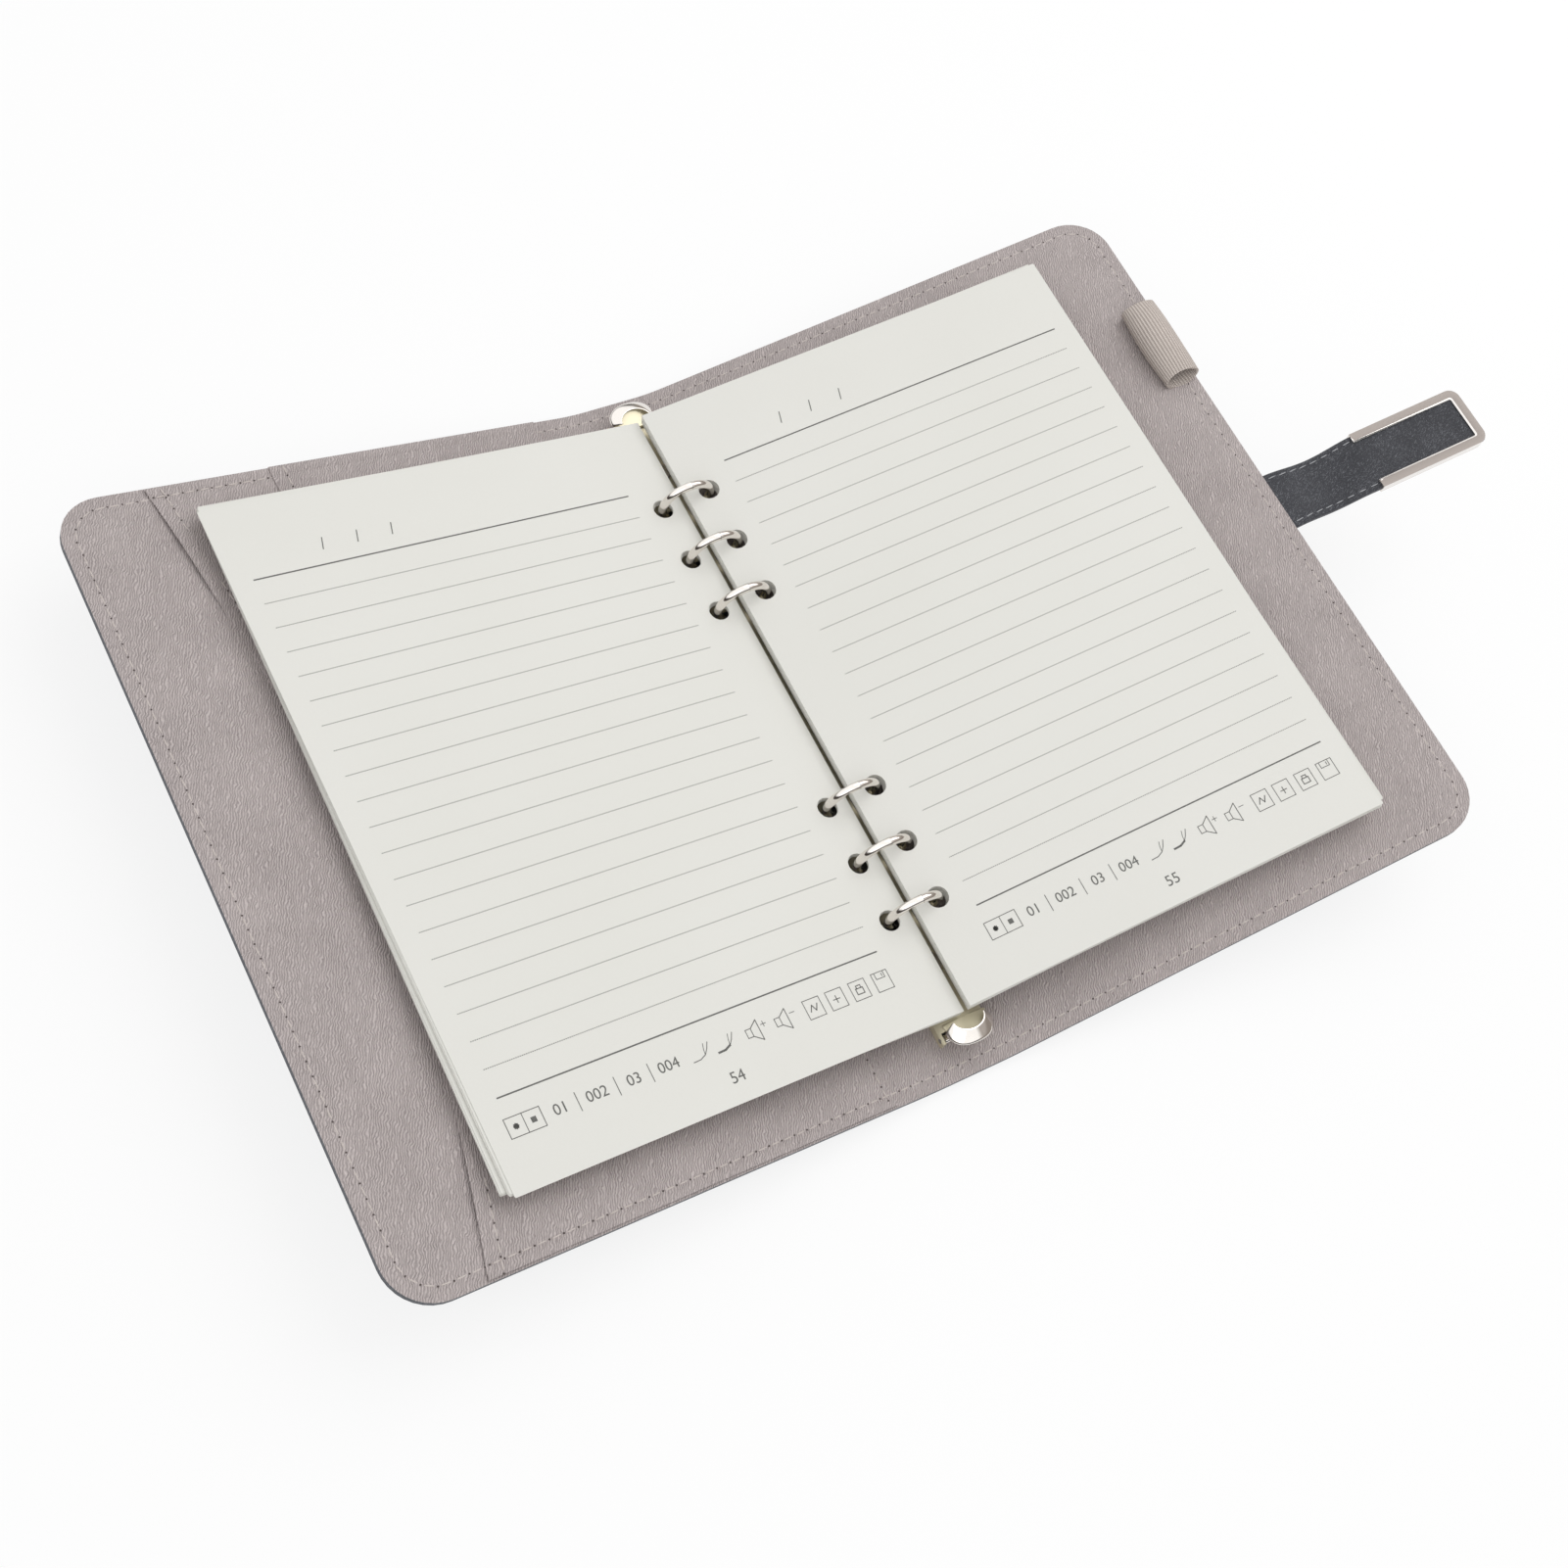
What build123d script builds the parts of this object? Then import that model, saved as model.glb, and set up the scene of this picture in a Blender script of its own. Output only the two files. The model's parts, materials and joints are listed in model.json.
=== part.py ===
from build123d import *
from math import cos, radians, sin, sqrt, tan
import os

# Six-ring loose-leaf notebook with a magnetic strap, lying open. Millimetres, +Z up.
# X runs across the notebook, front cover at -X and back cover at +X. Y runs along the spine.
# The origin is the middle of the spine's outer face, which lies on the table.

# Layers of a cover
leather_thick = 1.0
board_thick = 1.8
lining_thick = 0.8
cover_thick = leather_thick + board_thick + lining_thick
fold_height = cover_thick / 2

# Covers and spine
spine_width = 27.0
cover_width = 165.5
cover_height = 240.8
cover_corner = 14.0
front_rise = 10.5
back_rise = 11.5
seam_allowance = 7.0
board_corner = 8.0
leather_fold_gap = 0.3
lining_fold_gap = 2.1
board_fold_gap = 3.0

# Pockets of the inner front cover, measured from the crease
pocket_thick = 0.6
pocket_start = 14.5
pocket_edge_inset = 0.6
slip_mouth_top = 138.5
slip_mouth_bottom = 142.3
slip_mouth_middle = 118.3
slip_mouth_middle_y = -18.6
card_mouth = 102.0
card_bottom_y = -38.0

# Ring mechanism
mechanism_x = 1.5
ring_radius = 8.1
wire_radius = 1.3
ring_centre_height = 12.0
ring_pitch = 19.0
ring_group_gap = 70.0
ring_joint_gap = 0.05
ring_leg_angle = 30.0
housing_width = 16.0
housing_height = 6.0
housing_shoulder = 2.6
housing_wall = 0.9
housing_lip = 1.5
housing_half_length = 107.0
slot_side_clearance = 0.5
slot_inner_x = 2.4
slot_floor = 3.0
blade_thick = 1.0
blade_clearance = 0.1
blade_side_clearance = 0.2
blade_middle_gap = 0.2

# Levers, at both ends of the housing
pin_radius = 0.75
pin_clearance = 0.05
pin_height = 2.0
pin_outset = 1.6
ear_outset = 1.6
ear_height = 3.3
knuckle_radius = 1.5
knuckle_side_clearance = 0.15
finger_reach = 2.6
finger_width = 3.6
finger_thick = 0.7
finger_clearance = 0.15
tab_width = 14.0
tab_length = 7.0
tab_crest_height = 7.4
tab_crown = 1.8
tab_thick = 1.1
tab_curl_radius = 9.0
tab_curl_arc = 60
tab_corner = 3.4
stem_width = 8.0
stem_thick = 1.6
stem_sink = 1.15
lever_gap = 0.4

# Rivets of the housing
rivet_y = 88.0
rivet_shank_radius = 2.0
rivet_head_radius = 3.2
rivet_head_height = 0.6
rivet_head_taper = 30
rivet_foot_thick = 0.6
rivet_seat_depth = 0.4
rivet_clearance = 0.6

# Leaves
leaf_width = 142.0
leaf_height = 210.0
leaf_thick = 0.25
leaf_gap = 0.05
leaf_inner_edge = 0.4
hole_from_edge = 7.3
hole_radius = 3.2
page_lag = 2.3
left_top_drop = 1.9
right_top_rise = 1.5
left_upper_thick = 1.0
left_lower_thick = 1.75
right_upper_thick = 2.0
right_lower_thick = 2.1
upper_fan = 0.5
lower_fan = 1.1
upper_skew = 0.35
lower_skew = 0.7

# Pen loop of the back cover
loop_width = 13.6
loop_height = 7.0
loop_wall = 0.8
loop_length = 30.0
loop_bottom_y = 49.0
loop_edge_inset = 0.4

# Strap
strap_y = -1.5
strap_thick = board_thick
strap_width = 20.4
strap_waist = 19.4
strap_tail_length = 6.8
strap_tail_clearance = 0.05
strap_hinge_outset = 1.5
strap_hinge_gap = 0.95
closing_clearance = 0.4

# Metal tip of the strap
tip_width = 19.6
tip_start = 1.2
tip_length = 41.5
tip_wall = 0.8
tip_band = 3.2
tip_corner = 3.0
tip_window_corner = 1.5
tip_fit = 0.05
magnet_length = 28.0
magnet_width = 10.0
magnet_from_hinge = 23.0
keeper_length = 27.0
keeper_width = 12.0
keeper_thick = 1.0

os.makedirs("parts", exist_ok=True)


def save(builder, name):
    """Label a finished piece and write it under its own name."""
    builder.part.label = name
    export_step(builder.part, f"parts/{name}.step")


# Derived levels and planes
half_height = cover_height / 2
deck = cover_thick
ring_axis_z = deck + ring_centre_height
ring_ys = [
    sign * (ring_group_gap / 2 + step * ring_pitch)
    for sign in (-1, 1)
    for step in range(3)
]
fold_x = spine_width / 2


def cover_plane(side, rise):
    """A cover's own plane: x runs out from the crease, z out of the inner face."""
    tilt = radians(rise)
    return Plane(
        origin=(side * fold_x, 0, fold_height),
        x_dir=(side * cos(tilt), 0, sin(tilt)),
        z_dir=(-side * sin(tilt), 0, cos(tilt)),
    )


def page_plane(side, rise):
    """The plane of a pile of leaves, through the axis of the rings."""
    tilt = radians(rise - page_lag)
    return Plane(
        origin=(mechanism_x, 0, ring_axis_z),
        x_dir=(side * cos(tilt), 0, sin(tilt)),
        z_dir=(-side * sin(tilt), 0, cos(tilt)),
    )


front = cover_plane(-1, front_rise)
back = cover_plane(1, back_rise)
leather_level = -fold_height
board_level = leather_level + leather_thick
lining_level = board_level + board_thick
inner_face = lining_level + lining_thick

# Strap levels and lengths
strap_level = board_level + strap_thick / 2
tip_half = strap_thick / 2 + tip_wall
neck_length = spine_width - strap_level + fold_height + closing_clearance + tip_half
strap_hinge_x = cover_width + strap_hinge_outset
magnet_x = strap_hinge_x - magnet_from_hinge


# Covers: outer leather with its turned-in hem, board and lining
def cover_outline(start, edge_inset, corner):
    """A cover's outline in the open sketch: square at the crease, round at the fore-edge."""
    length = cover_width - edge_inset - start
    with Locations((start + length / 2, 0)):
        Rectangle(length, cover_height - 2 * edge_inset)
    fillet(vertices().group_by(Axis.X)[-1], radius=corner)


for side_name, plane in (("front", front), ("back", back)):
    # In the front cover's plane y points the other way along the spine
    spine_way = plane.y_dir.Y
    with BuildPart() as leather:
        with BuildSketch(plane.offset(leather_level)):
            cover_outline(leather_fold_gap, 0, cover_corner)
        extrude(amount=leather_thick)
        with BuildSketch(plane.offset(board_level)):
            cover_outline(board_fold_gap, 0, cover_corner)
            with BuildSketch(mode=Mode.SUBTRACT):
                cover_outline(board_fold_gap, seam_allowance, board_corner)
            if side_name == "back":
                with Locations((cover_width, spine_way * strap_y)):
                    Rectangle(
                        2 * seam_allowance,
                        strap_width + 2 * strap_tail_clearance,
                        mode=Mode.SUBTRACT,
                    )
        extrude(amount=board_thick)
    save(leather, f"{side_name}_leather")

    with BuildPart() as board:
        with BuildSketch(plane.offset(board_level)):
            cover_outline(board_fold_gap, seam_allowance, board_corner)
        extrude(amount=board_thick)
        if side_name == "front":
            with BuildSketch(plane.offset(board_level)):
                with Locations((magnet_x, spine_way * strap_y)):
                    Rectangle(keeper_length, keeper_width)
            extrude(amount=keeper_thick, mode=Mode.SUBTRACT)
    save(board, f"{side_name}_board")

    with BuildPart() as lining:
        with BuildSketch(plane.offset(lining_level)):
            cover_outline(leather_fold_gap, 0, cover_corner)
        extrude(amount=lining_thick)
    save(lining, f"{side_name}_lining")

# Steel keeper plate in the front board, where the strap's magnet lands
with BuildPart() as keeper:
    with BuildSketch(front.offset(board_level)):
        with Locations((magnet_x, -strap_y)):
            Rectangle(keeper_length, keeper_width)
    extrude(amount=keeper_thick)
save(keeper, "front_keeper_plate")

# Slip pocket with a V mouth, and the card pocket sewn on it
pocket_half = half_height - pocket_edge_inset
with BuildPart() as slip_pocket:
    with BuildSketch(front.offset(inner_face)):
        with BuildLine():
            Polyline(
                (pocket_start, -pocket_half),
                (slip_mouth_top, -pocket_half),
                (slip_mouth_middle, -slip_mouth_middle_y),
                (slip_mouth_bottom, pocket_half),
                (pocket_start, pocket_half),
                close=True,
            )
        make_face()
    extrude(amount=pocket_thick)
save(slip_pocket, "slip_pocket")

with BuildPart() as card_pocket:
    with BuildSketch(front.offset(inner_face + pocket_thick)):
        with BuildLine():
            Polyline(
                (pocket_start, -pocket_half),
                (card_mouth, -pocket_half),
                (card_mouth, -card_bottom_y),
                (pocket_start, -card_bottom_y),
                close=True,
            )
        make_face()
    extrude(amount=pocket_thick)
save(card_pocket, "card_pocket")

# Elastic pen loop, a flattened tube sewn on the back cover's fore-edge
loop_x = cover_width - loop_edge_inset - loop_width / 2
loop_plane = Plane(
    origin=back.from_local_coords((loop_x, loop_bottom_y, inner_face + loop_height / 2)),
    x_dir=-back.x_dir,
    z_dir=back.y_dir,
)
with BuildPart() as pen_loop:
    with BuildSketch(loop_plane):
        SlotOverall(loop_width, loop_height)
        SlotOverall(
            loop_width - 2 * loop_wall, loop_height - 2 * loop_wall, mode=Mode.SUBTRACT
        )
    extrude(amount=loop_length)
save(pen_loop, "pen_loop")

# Spine: leather, board and lining
spine_layers = (
    ("spine_leather", 0, leather_thick, leather_fold_gap, 0),
    ("spine_board", leather_thick, board_thick, board_fold_gap, seam_allowance),
    ("spine_lining", leather_thick + board_thick, lining_thick, lining_fold_gap, 0),
)
for layer_name, level, thick, fold_gap, end_inset in spine_layers:
    with BuildPart() as layer:
        with BuildSketch(Plane.XY.offset(level)):
            Rectangle(spine_width - 2 * fold_gap, cover_height - 2 * end_inset)
        extrude(amount=thick)
        if layer_name != "spine_leather":
            with BuildSketch(Plane.XY.offset(level)):
                with Locations((mechanism_x, rivet_y), (mechanism_x, -rivet_y)):
                    Circle(rivet_shank_radius)
            extrude(amount=thick, mode=Mode.SUBTRACT)
        if layer_name == "spine_board":
            with BuildSketch(Plane.XY.offset(level)):
                with Locations((mechanism_x, rivet_y), (mechanism_x, -rivet_y)):
                    Circle(rivet_head_radius)
            extrude(amount=rivet_foot_thick, mode=Mode.SUBTRACT)
    save(layer, layer_name)

# Ring housing: a domed channel with inturned lips, slotted for the rings
pin_y = housing_half_length + pin_outset
ear_end = pin_y + ear_outset
section_plane = Plane(origin=(mechanism_x, 0, deck), x_dir=(1, 0, 0), z_dir=(0, -1, 0))
half_width = housing_width / 2
inner_half = half_width - housing_wall
with BuildPart() as housing:
    with BuildSketch(section_plane):
        with BuildLine():
            Line((-half_width, 0), (-half_width, housing_shoulder))
            ThreePointArc(
                (-half_width, housing_shoulder),
                (0, housing_height),
                (half_width, housing_shoulder),
            )
            Line((half_width, housing_shoulder), (half_width, 0))
            Line((half_width, 0), (-half_width, 0))
        make_face()
        with BuildLine():
            Line((-inner_half, housing_wall), (-inner_half, housing_shoulder))
            ThreePointArc(
                (-inner_half, housing_shoulder),
                (0, housing_height - housing_wall),
                (inner_half, housing_shoulder),
            )
            Line((inner_half, housing_shoulder), (inner_half, housing_wall))
            Line((inner_half, housing_wall), (-inner_half, housing_wall))
        make_face(mode=Mode.SUBTRACT)
        with Locations((0, housing_wall / 2)):
            Rectangle(2 * (inner_half - housing_lip), housing_wall, mode=Mode.SUBTRACT)
    extrude(amount=ear_end, both=True)
    # Each end keeps only its side walls, as ears for the lever pin
    ear_zone = ear_end - housing_half_length
    with BuildSketch(Plane.XY.offset(deck + ear_height)):
        with Locations(
            (mechanism_x, housing_half_length + ear_zone / 2),
            (mechanism_x, -housing_half_length - ear_zone / 2),
        ):
            Rectangle(housing_width, ear_zone)
    extrude(amount=housing_height, mode=Mode.SUBTRACT)
    with BuildSketch(Plane.XY.offset(deck)):
        with Locations(
            (mechanism_x, housing_half_length + ear_zone / 2),
            (mechanism_x, -housing_half_length - ear_zone / 2),
        ):
            Rectangle(2 * inner_half, ear_zone)
    extrude(amount=housing_height, mode=Mode.SUBTRACT)
    with BuildSketch(Plane.XY.offset(deck + slot_floor)):
        slot_length = half_width - slot_inner_x + housing_wall
        for side in (-1, 1):
            slot_x = mechanism_x + side * (slot_inner_x + slot_length / 2)
            with Locations(*[(slot_x, y) for y in ring_ys]):
                Rectangle(slot_length, 2 * (wire_radius + slot_side_clearance))
    extrude(amount=housing_height, mode=Mode.SUBTRACT)
    with Locations(
        *[
            Location((mechanism_x, y, deck + pin_height), (0, 90, 0))
            for y in (-pin_y, pin_y)
        ]
    ):
        Cylinder(pin_radius, 2 * housing_width, mode=Mode.SUBTRACT)
    # A spot face and a hole for each rivet
    for cut_radius, floor in (
        (rivet_head_radius, housing_height - rivet_seat_depth),
        (rivet_shank_radius, housing_shoulder),
    ):
        with BuildSketch(Plane.XY.offset(deck + floor)):
            with Locations((mechanism_x, rivet_y), (mechanism_x, -rivet_y)):
                Circle(cut_radius)
        extrude(amount=housing_height, mode=Mode.SUBTRACT)
save(housing, "ring_housing")

# Rivets from the housing's crown down to their feet in the spine board
rivet_seat = deck + housing_height - rivet_seat_depth
with BuildPart() as rivets:
    with BuildSketch(Plane.XY.offset(leather_thick)):
        with Locations((mechanism_x, rivet_y), (mechanism_x, -rivet_y)):
            Circle(rivet_head_radius)
    extrude(amount=rivet_foot_thick)
    with BuildSketch(Plane.XY.offset(leather_thick)):
        with Locations((mechanism_x, rivet_y), (mechanism_x, -rivet_y)):
            Circle(rivet_shank_radius)
    extrude(amount=rivet_seat - leather_thick)
    with BuildSketch(Plane.XY.offset(rivet_seat)):
        with Locations((mechanism_x, rivet_y), (mechanism_x, -rivet_y)):
            Circle(rivet_head_radius)
    extrude(amount=rivet_seat_depth + rivet_head_height, taper=rivet_head_taper)
save(rivets, "housing_rivets")

# Lever pins, through the ears of the housing
with BuildPart() as pins:
    with Locations(
        *[
            Location((mechanism_x, y, deck + pin_height), (0, 90, 0))
            for y in (-pin_y, pin_y)
        ]
    ):
        Cylinder(pin_radius, housing_width)
save(pins, "lever_pins")

# Carrier blades, lying on the lips of the housing
blade_level = deck + housing_wall + blade_clearance
blade_top = blade_level + blade_thick
blade_half_length = pin_y - knuckle_radius - finger_clearance
blade_outer = inner_half - blade_side_clearance
blade_span = blade_outer - blade_middle_gap
for side_name, side in (("left", -1), ("right", 1)):
    with BuildPart() as blade:
        with BuildSketch(Plane.XY.offset(blade_level)):
            with Locations((mechanism_x + side * (blade_middle_gap + blade_span / 2), 0)):
                Rectangle(blade_span, 2 * blade_half_length)
            with Locations((mechanism_x, rivet_y), (mechanism_x, -rivet_y)):
                Circle(rivet_shank_radius + rivet_clearance, mode=Mode.SUBTRACT)
        extrude(amount=blade_thick)
    save(blade, f"{side_name}_blade")

# Ring halves: an arc from the crown, then a straight leg down to the blade
leg_angle = radians(ring_leg_angle)
leg_foot_z = deck + housing_wall
arc_x = ring_radius * cos(leg_angle)
arc_drop = ring_radius * sin(leg_angle)
leg_foot_x = arc_x - (ring_axis_z - arc_drop - leg_foot_z) * tan(leg_angle)
crown_z = ring_axis_z + sqrt(ring_radius**2 - ring_joint_gap**2)
for side_name, side in (("left", -1), ("right", 1)):
    with BuildPart() as wire:
        with BuildLine(Plane.XZ) as path:
            Line(
                (mechanism_x + side * leg_foot_x, leg_foot_z),
                (mechanism_x + side * arc_x, ring_axis_z - arc_drop),
            )
            ThreePointArc(
                (mechanism_x + side * arc_x, ring_axis_z - arc_drop),
                (mechanism_x + side * arc_x, ring_axis_z + arc_drop),
                (mechanism_x + side * ring_joint_gap, crown_z),
            )
        with BuildSketch(Plane(origin=path.line @ 0, z_dir=path.line % 0)):
            Circle(wire_radius)
        sweep()
        split(bisect_by=Plane.XY.offset(blade_top), keep=Keep.TOP)
    with BuildPart() as rings:
        with Locations(*[(0, y, 0) for y in ring_ys]):
            add(wire.part)
    save(rings, f"{side_name}_rings")

# Levers: a crowned thumb tab on a stem, a knuckle round the pin and a finger under the blades
for end_name, end in (("top", 1), ("bottom", -1)):
    tab_middle = housing_half_length + lever_gap + tab_length / 2
    crest = deck + tab_crest_height
    curl_axis = Axis((mechanism_x, end * tab_middle, crest - tab_curl_radius), (1, 0, 0))
    tab_plane = Plane(
        origin=(mechanism_x, end * tab_middle, crest), x_dir=(1, 0, 0), z_dir=(0, -1, 0)
    )
    half_tab = tab_width / 2
    with BuildPart() as tab:
        with BuildSketch(tab_plane):
            with BuildLine():
                ThreePointArc((-half_tab, -tab_crown), (0, 0), (half_tab, -tab_crown))
                Line((half_tab, -tab_crown), (half_tab, -tab_crown - tab_thick))
                ThreePointArc(
                    (half_tab, -tab_crown - tab_thick),
                    (0, -tab_thick),
                    (-half_tab, -tab_crown - tab_thick),
                )
                Line((-half_tab, -tab_crown - tab_thick), (-half_tab, -tab_crown))
            make_face()
        revolve(axis=curl_axis, revolution_arc=tab_curl_arc)
        mirror(about=Plane.XZ.offset(-end * tab_middle))
        with BuildSketch(Plane.XY.offset(deck)):
            with Locations((mechanism_x, end * tab_middle)):
                Rectangle(tab_width, tab_length)
            outer_corners = vertices().group_by(Axis.Y)[-1 if end > 0 else 0]
            fillet(outer_corners, radius=tab_corner)
        extrude(amount=ring_centre_height, mode=Mode.INTERSECT)
    with BuildPart() as lever:
        add(tab.part)
        with Locations((mechanism_x, end * pin_y, deck + pin_height)):
            Box(
                stem_width,
                stem_thick,
                tab_crest_height - stem_sink - pin_height,
                align=(Align.CENTER, Align.CENTER, Align.MIN),
            )
        knuckle_length = 2 * (inner_half - knuckle_side_clearance)
        with Locations(
            Location((mechanism_x, end * pin_y, deck + pin_height), (0, 90, 0))
        ):
            Cylinder(knuckle_radius, knuckle_length)
        finger_top = housing_wall + blade_clearance - finger_clearance
        with Locations(
            (mechanism_x, end * (pin_y - finger_reach / 2), deck + finger_top)
        ):
            Box(
                finger_width,
                finger_reach,
                finger_thick,
                align=(Align.CENTER, Align.CENTER, Align.MAX),
            )
        with Locations(
            Location((mechanism_x, end * pin_y, deck + pin_height), (0, 90, 0))
        ):
            Cylinder(pin_radius + pin_clearance, housing_width, mode=Mode.SUBTRACT)
    save(lever, f"{end_name}_lever")


# Leaves: each pile is cut by ring-shaped channels round the ring axis
def leaf_block(plane, top, thick, fan, skew):
    """A block of leaves under the level top, pushed out by fan and turned by skew."""
    spine_way = plane.y_dir.Y
    hole_x = leaf_inner_edge + hole_from_edge
    with BuildPart(plane) as block:
        with BuildSketch(plane.offset(top - thick)):
            with Locations((leaf_inner_edge + fan + leaf_width / 2, 0)):
                Rectangle(leaf_width, leaf_height, rotation=spine_way * skew)
        extrude(amount=thick)
        shifts = [(fan - y * tan(radians(skew)), spine_way * y, 0) for y in ring_ys]
        with Locations(*[Location(shift, (90, 0, 0)) for shift in shifts]):
            Torus(hole_x, hole_radius, mode=Mode.SUBTRACT)
    return block


left_pages = page_plane(-1, front_rise)
right_pages = page_plane(1, back_rise)
left_levels = (
    ("left_top_leaf", -left_top_drop, leaf_thick, 0, 0),
    ("left_upper_leaves", -left_top_drop - leaf_thick, left_upper_thick, upper_fan, upper_skew),
    (
        "left_lower_leaves",
        -left_top_drop - leaf_thick - left_upper_thick,
        left_lower_thick,
        lower_fan,
        lower_skew,
    ),
)
right_stack_top = right_top_rise - leaf_thick - leaf_gap
right_levels = (
    ("right_top_leaf", right_top_rise, leaf_thick, 0, 0),
    ("right_upper_leaves", right_stack_top, right_upper_thick, 0, 0),
    (
        "right_lower_leaves",
        right_stack_top - right_upper_thick,
        right_lower_thick,
        lower_fan,
        lower_skew,
    ),
)
for plane, levels in ((left_pages, left_levels), (right_pages, right_levels)):
    for block_name, top, thick, fan, skew in levels:
        save(leaf_block(plane, top, thick, fan, skew), block_name)

# Strap: the tail sewn into the back cover, the neck and the tip
tail_level = back.offset(strap_level - strap_thick / 2)
tail_end = strap_hinge_x - strap_hinge_gap
with BuildPart() as strap_tail:
    with BuildSketch(tail_level):
        tail_length = tail_end - cover_width + strap_tail_length
        with Locations((tail_end - tail_length / 2, strap_y)):
            Rectangle(tail_length, strap_width)
    extrude(amount=strap_thick)
save(strap_tail, "strap_tail")

layer_thick = strap_thick / 2
strap_layers = (("leather", strap_level - layer_thick), ("lining", strap_level))
neck_end = neck_length - strap_hinge_gap
for layer_name, level in strap_layers:
    with BuildPart() as neck:
        with BuildSketch(back.offset(level)):
            half_strap = strap_width / 2
            half_waist = strap_waist / 2
            near = strap_hinge_x
            far = strap_hinge_x + neck_end
            middle = (near + far) / 2
            with BuildLine():
                ThreePointArc(
                    (near, strap_y - half_strap),
                    (middle, strap_y - half_waist),
                    (far, strap_y - half_strap),
                )
                Line((far, strap_y - half_strap), (far, strap_y + half_strap))
                ThreePointArc(
                    (far, strap_y + half_strap),
                    (middle, strap_y + half_waist),
                    (near, strap_y + half_strap),
                )
                Line((near, strap_y + half_strap), (near, strap_y - half_strap))
            make_face()
        extrude(amount=layer_thick)
    save(neck, f"neck_{layer_name}")

tip_hinge_x = strap_hinge_x + neck_length
tip_inside_end = tip_start + tip_length - tip_wall - tip_fit
for layer_name, level in strap_layers:
    with BuildPart() as tip_layer:
        with BuildSketch(back.offset(level)):
            with Locations((tip_hinge_x + tip_inside_end / 2, strap_y)):
                Rectangle(tip_inside_end, tip_width)
        extrude(amount=layer_thick)
        if layer_name == "leather":
            with BuildSketch(back.offset(level)):
                with Locations((tip_hinge_x + magnet_from_hinge, strap_y)):
                    Rectangle(magnet_length, magnet_width)
            extrude(amount=layer_thick, mode=Mode.SUBTRACT)
    save(tip_layer, f"tip_{layer_name}")

with BuildPart() as magnet:
    with BuildSketch(back.offset(strap_level - layer_thick)):
        with Locations((tip_hinge_x + magnet_from_hinge, strap_y)):
            Rectangle(magnet_length, magnet_width)
    extrude(amount=layer_thick)
save(magnet, "tip_magnet")

# Metal tip: a tray closed on the outside, with a band turned in over three sides
tray_width = tip_width + 2 * (tip_fit + tip_wall)
tray_x = tip_hinge_x + tip_start
with BuildPart() as tip_frame:
    with BuildSketch(back.offset(strap_level - tip_half)):
        with Locations((tray_x + tip_length / 2, strap_y)):
            Rectangle(tip_length, tray_width)
        fillet(vertices().group_by(Axis.X)[-1], radius=tip_corner)
    extrude(amount=2 * tip_half)
    with BuildSketch(back.offset(strap_level - strap_thick / 2)):
        cavity_length = tip_length - tip_wall
        with Locations((tray_x + cavity_length / 2, strap_y)):
            Rectangle(cavity_length, tip_width + 2 * tip_fit)
    extrude(amount=strap_thick, mode=Mode.SUBTRACT)
    with BuildSketch(back.offset(strap_level + strap_thick / 2)):
        window_length = tip_length - tip_band
        with Locations((tray_x + window_length / 2, strap_y)):
            Rectangle(window_length, tray_width - 2 * tip_band)
        fillet(vertices().group_by(Axis.X)[-1], radius=tip_window_corner)
    extrude(amount=tip_wall, mode=Mode.SUBTRACT)
save(tip_frame, "tip_frame")
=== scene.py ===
# %% [markdown]
# A loose-leaf notebook lies open on a table. Its covers, rings, levers and blocks of leaves
# were made to size in CAD. Here each of them gets the soft edges, sewing, print and finish that
# a drawing of solids leaves out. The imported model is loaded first, because everything else
# is placed from it.

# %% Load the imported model
import json
from math import atan2, cos, hypot, pi, radians, sin

import bmesh
import bpy
from mathutils import Matrix, Vector, noise


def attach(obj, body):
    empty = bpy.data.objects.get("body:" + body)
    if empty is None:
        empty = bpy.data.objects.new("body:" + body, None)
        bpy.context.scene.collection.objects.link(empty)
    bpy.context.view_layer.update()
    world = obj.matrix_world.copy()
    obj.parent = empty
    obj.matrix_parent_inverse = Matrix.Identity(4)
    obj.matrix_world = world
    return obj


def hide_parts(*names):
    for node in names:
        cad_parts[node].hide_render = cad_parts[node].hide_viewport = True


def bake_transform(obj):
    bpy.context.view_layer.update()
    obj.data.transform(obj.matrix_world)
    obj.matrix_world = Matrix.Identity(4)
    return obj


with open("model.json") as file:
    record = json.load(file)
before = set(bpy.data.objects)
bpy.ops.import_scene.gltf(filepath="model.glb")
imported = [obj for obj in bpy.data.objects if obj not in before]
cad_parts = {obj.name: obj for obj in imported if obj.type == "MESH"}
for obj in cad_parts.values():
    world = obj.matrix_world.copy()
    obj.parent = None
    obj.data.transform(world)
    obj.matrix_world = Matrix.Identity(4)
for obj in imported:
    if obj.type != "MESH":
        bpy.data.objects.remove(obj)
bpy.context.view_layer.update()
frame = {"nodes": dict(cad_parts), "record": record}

# %% [markdown]
# All modelling is done in millimetres on a flat notebook, as a leather worker cuts flat panels.
# x is the distance across from the middle of the spine, y runs along the spine and z is the
# height above the middle of the cover's thickness. One function then folds any flat point up to
# where the open notebook holds it. The fold is a soft bend, not a crease.

# %% Fold the flat notebook
MM = 0.001
FOLD_X = 13.5
COVER = 165.5
HALF_SPREAD = FOLD_X + COVER
HALF_HEIGHT = 120.4
CORNER = 14.0
MID_HEIGHT = 1.8
SOFT_FOLD = 7.0
RISE = {-1: radians(10.5), 1: radians(11.5)}


def way(value):
    return -1 if value < 0 else 1


def share(value, whole):
    """How much of the whole a value is, kept from none (0) to all (1)."""
    return min(1, max(0, value / whole))


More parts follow.
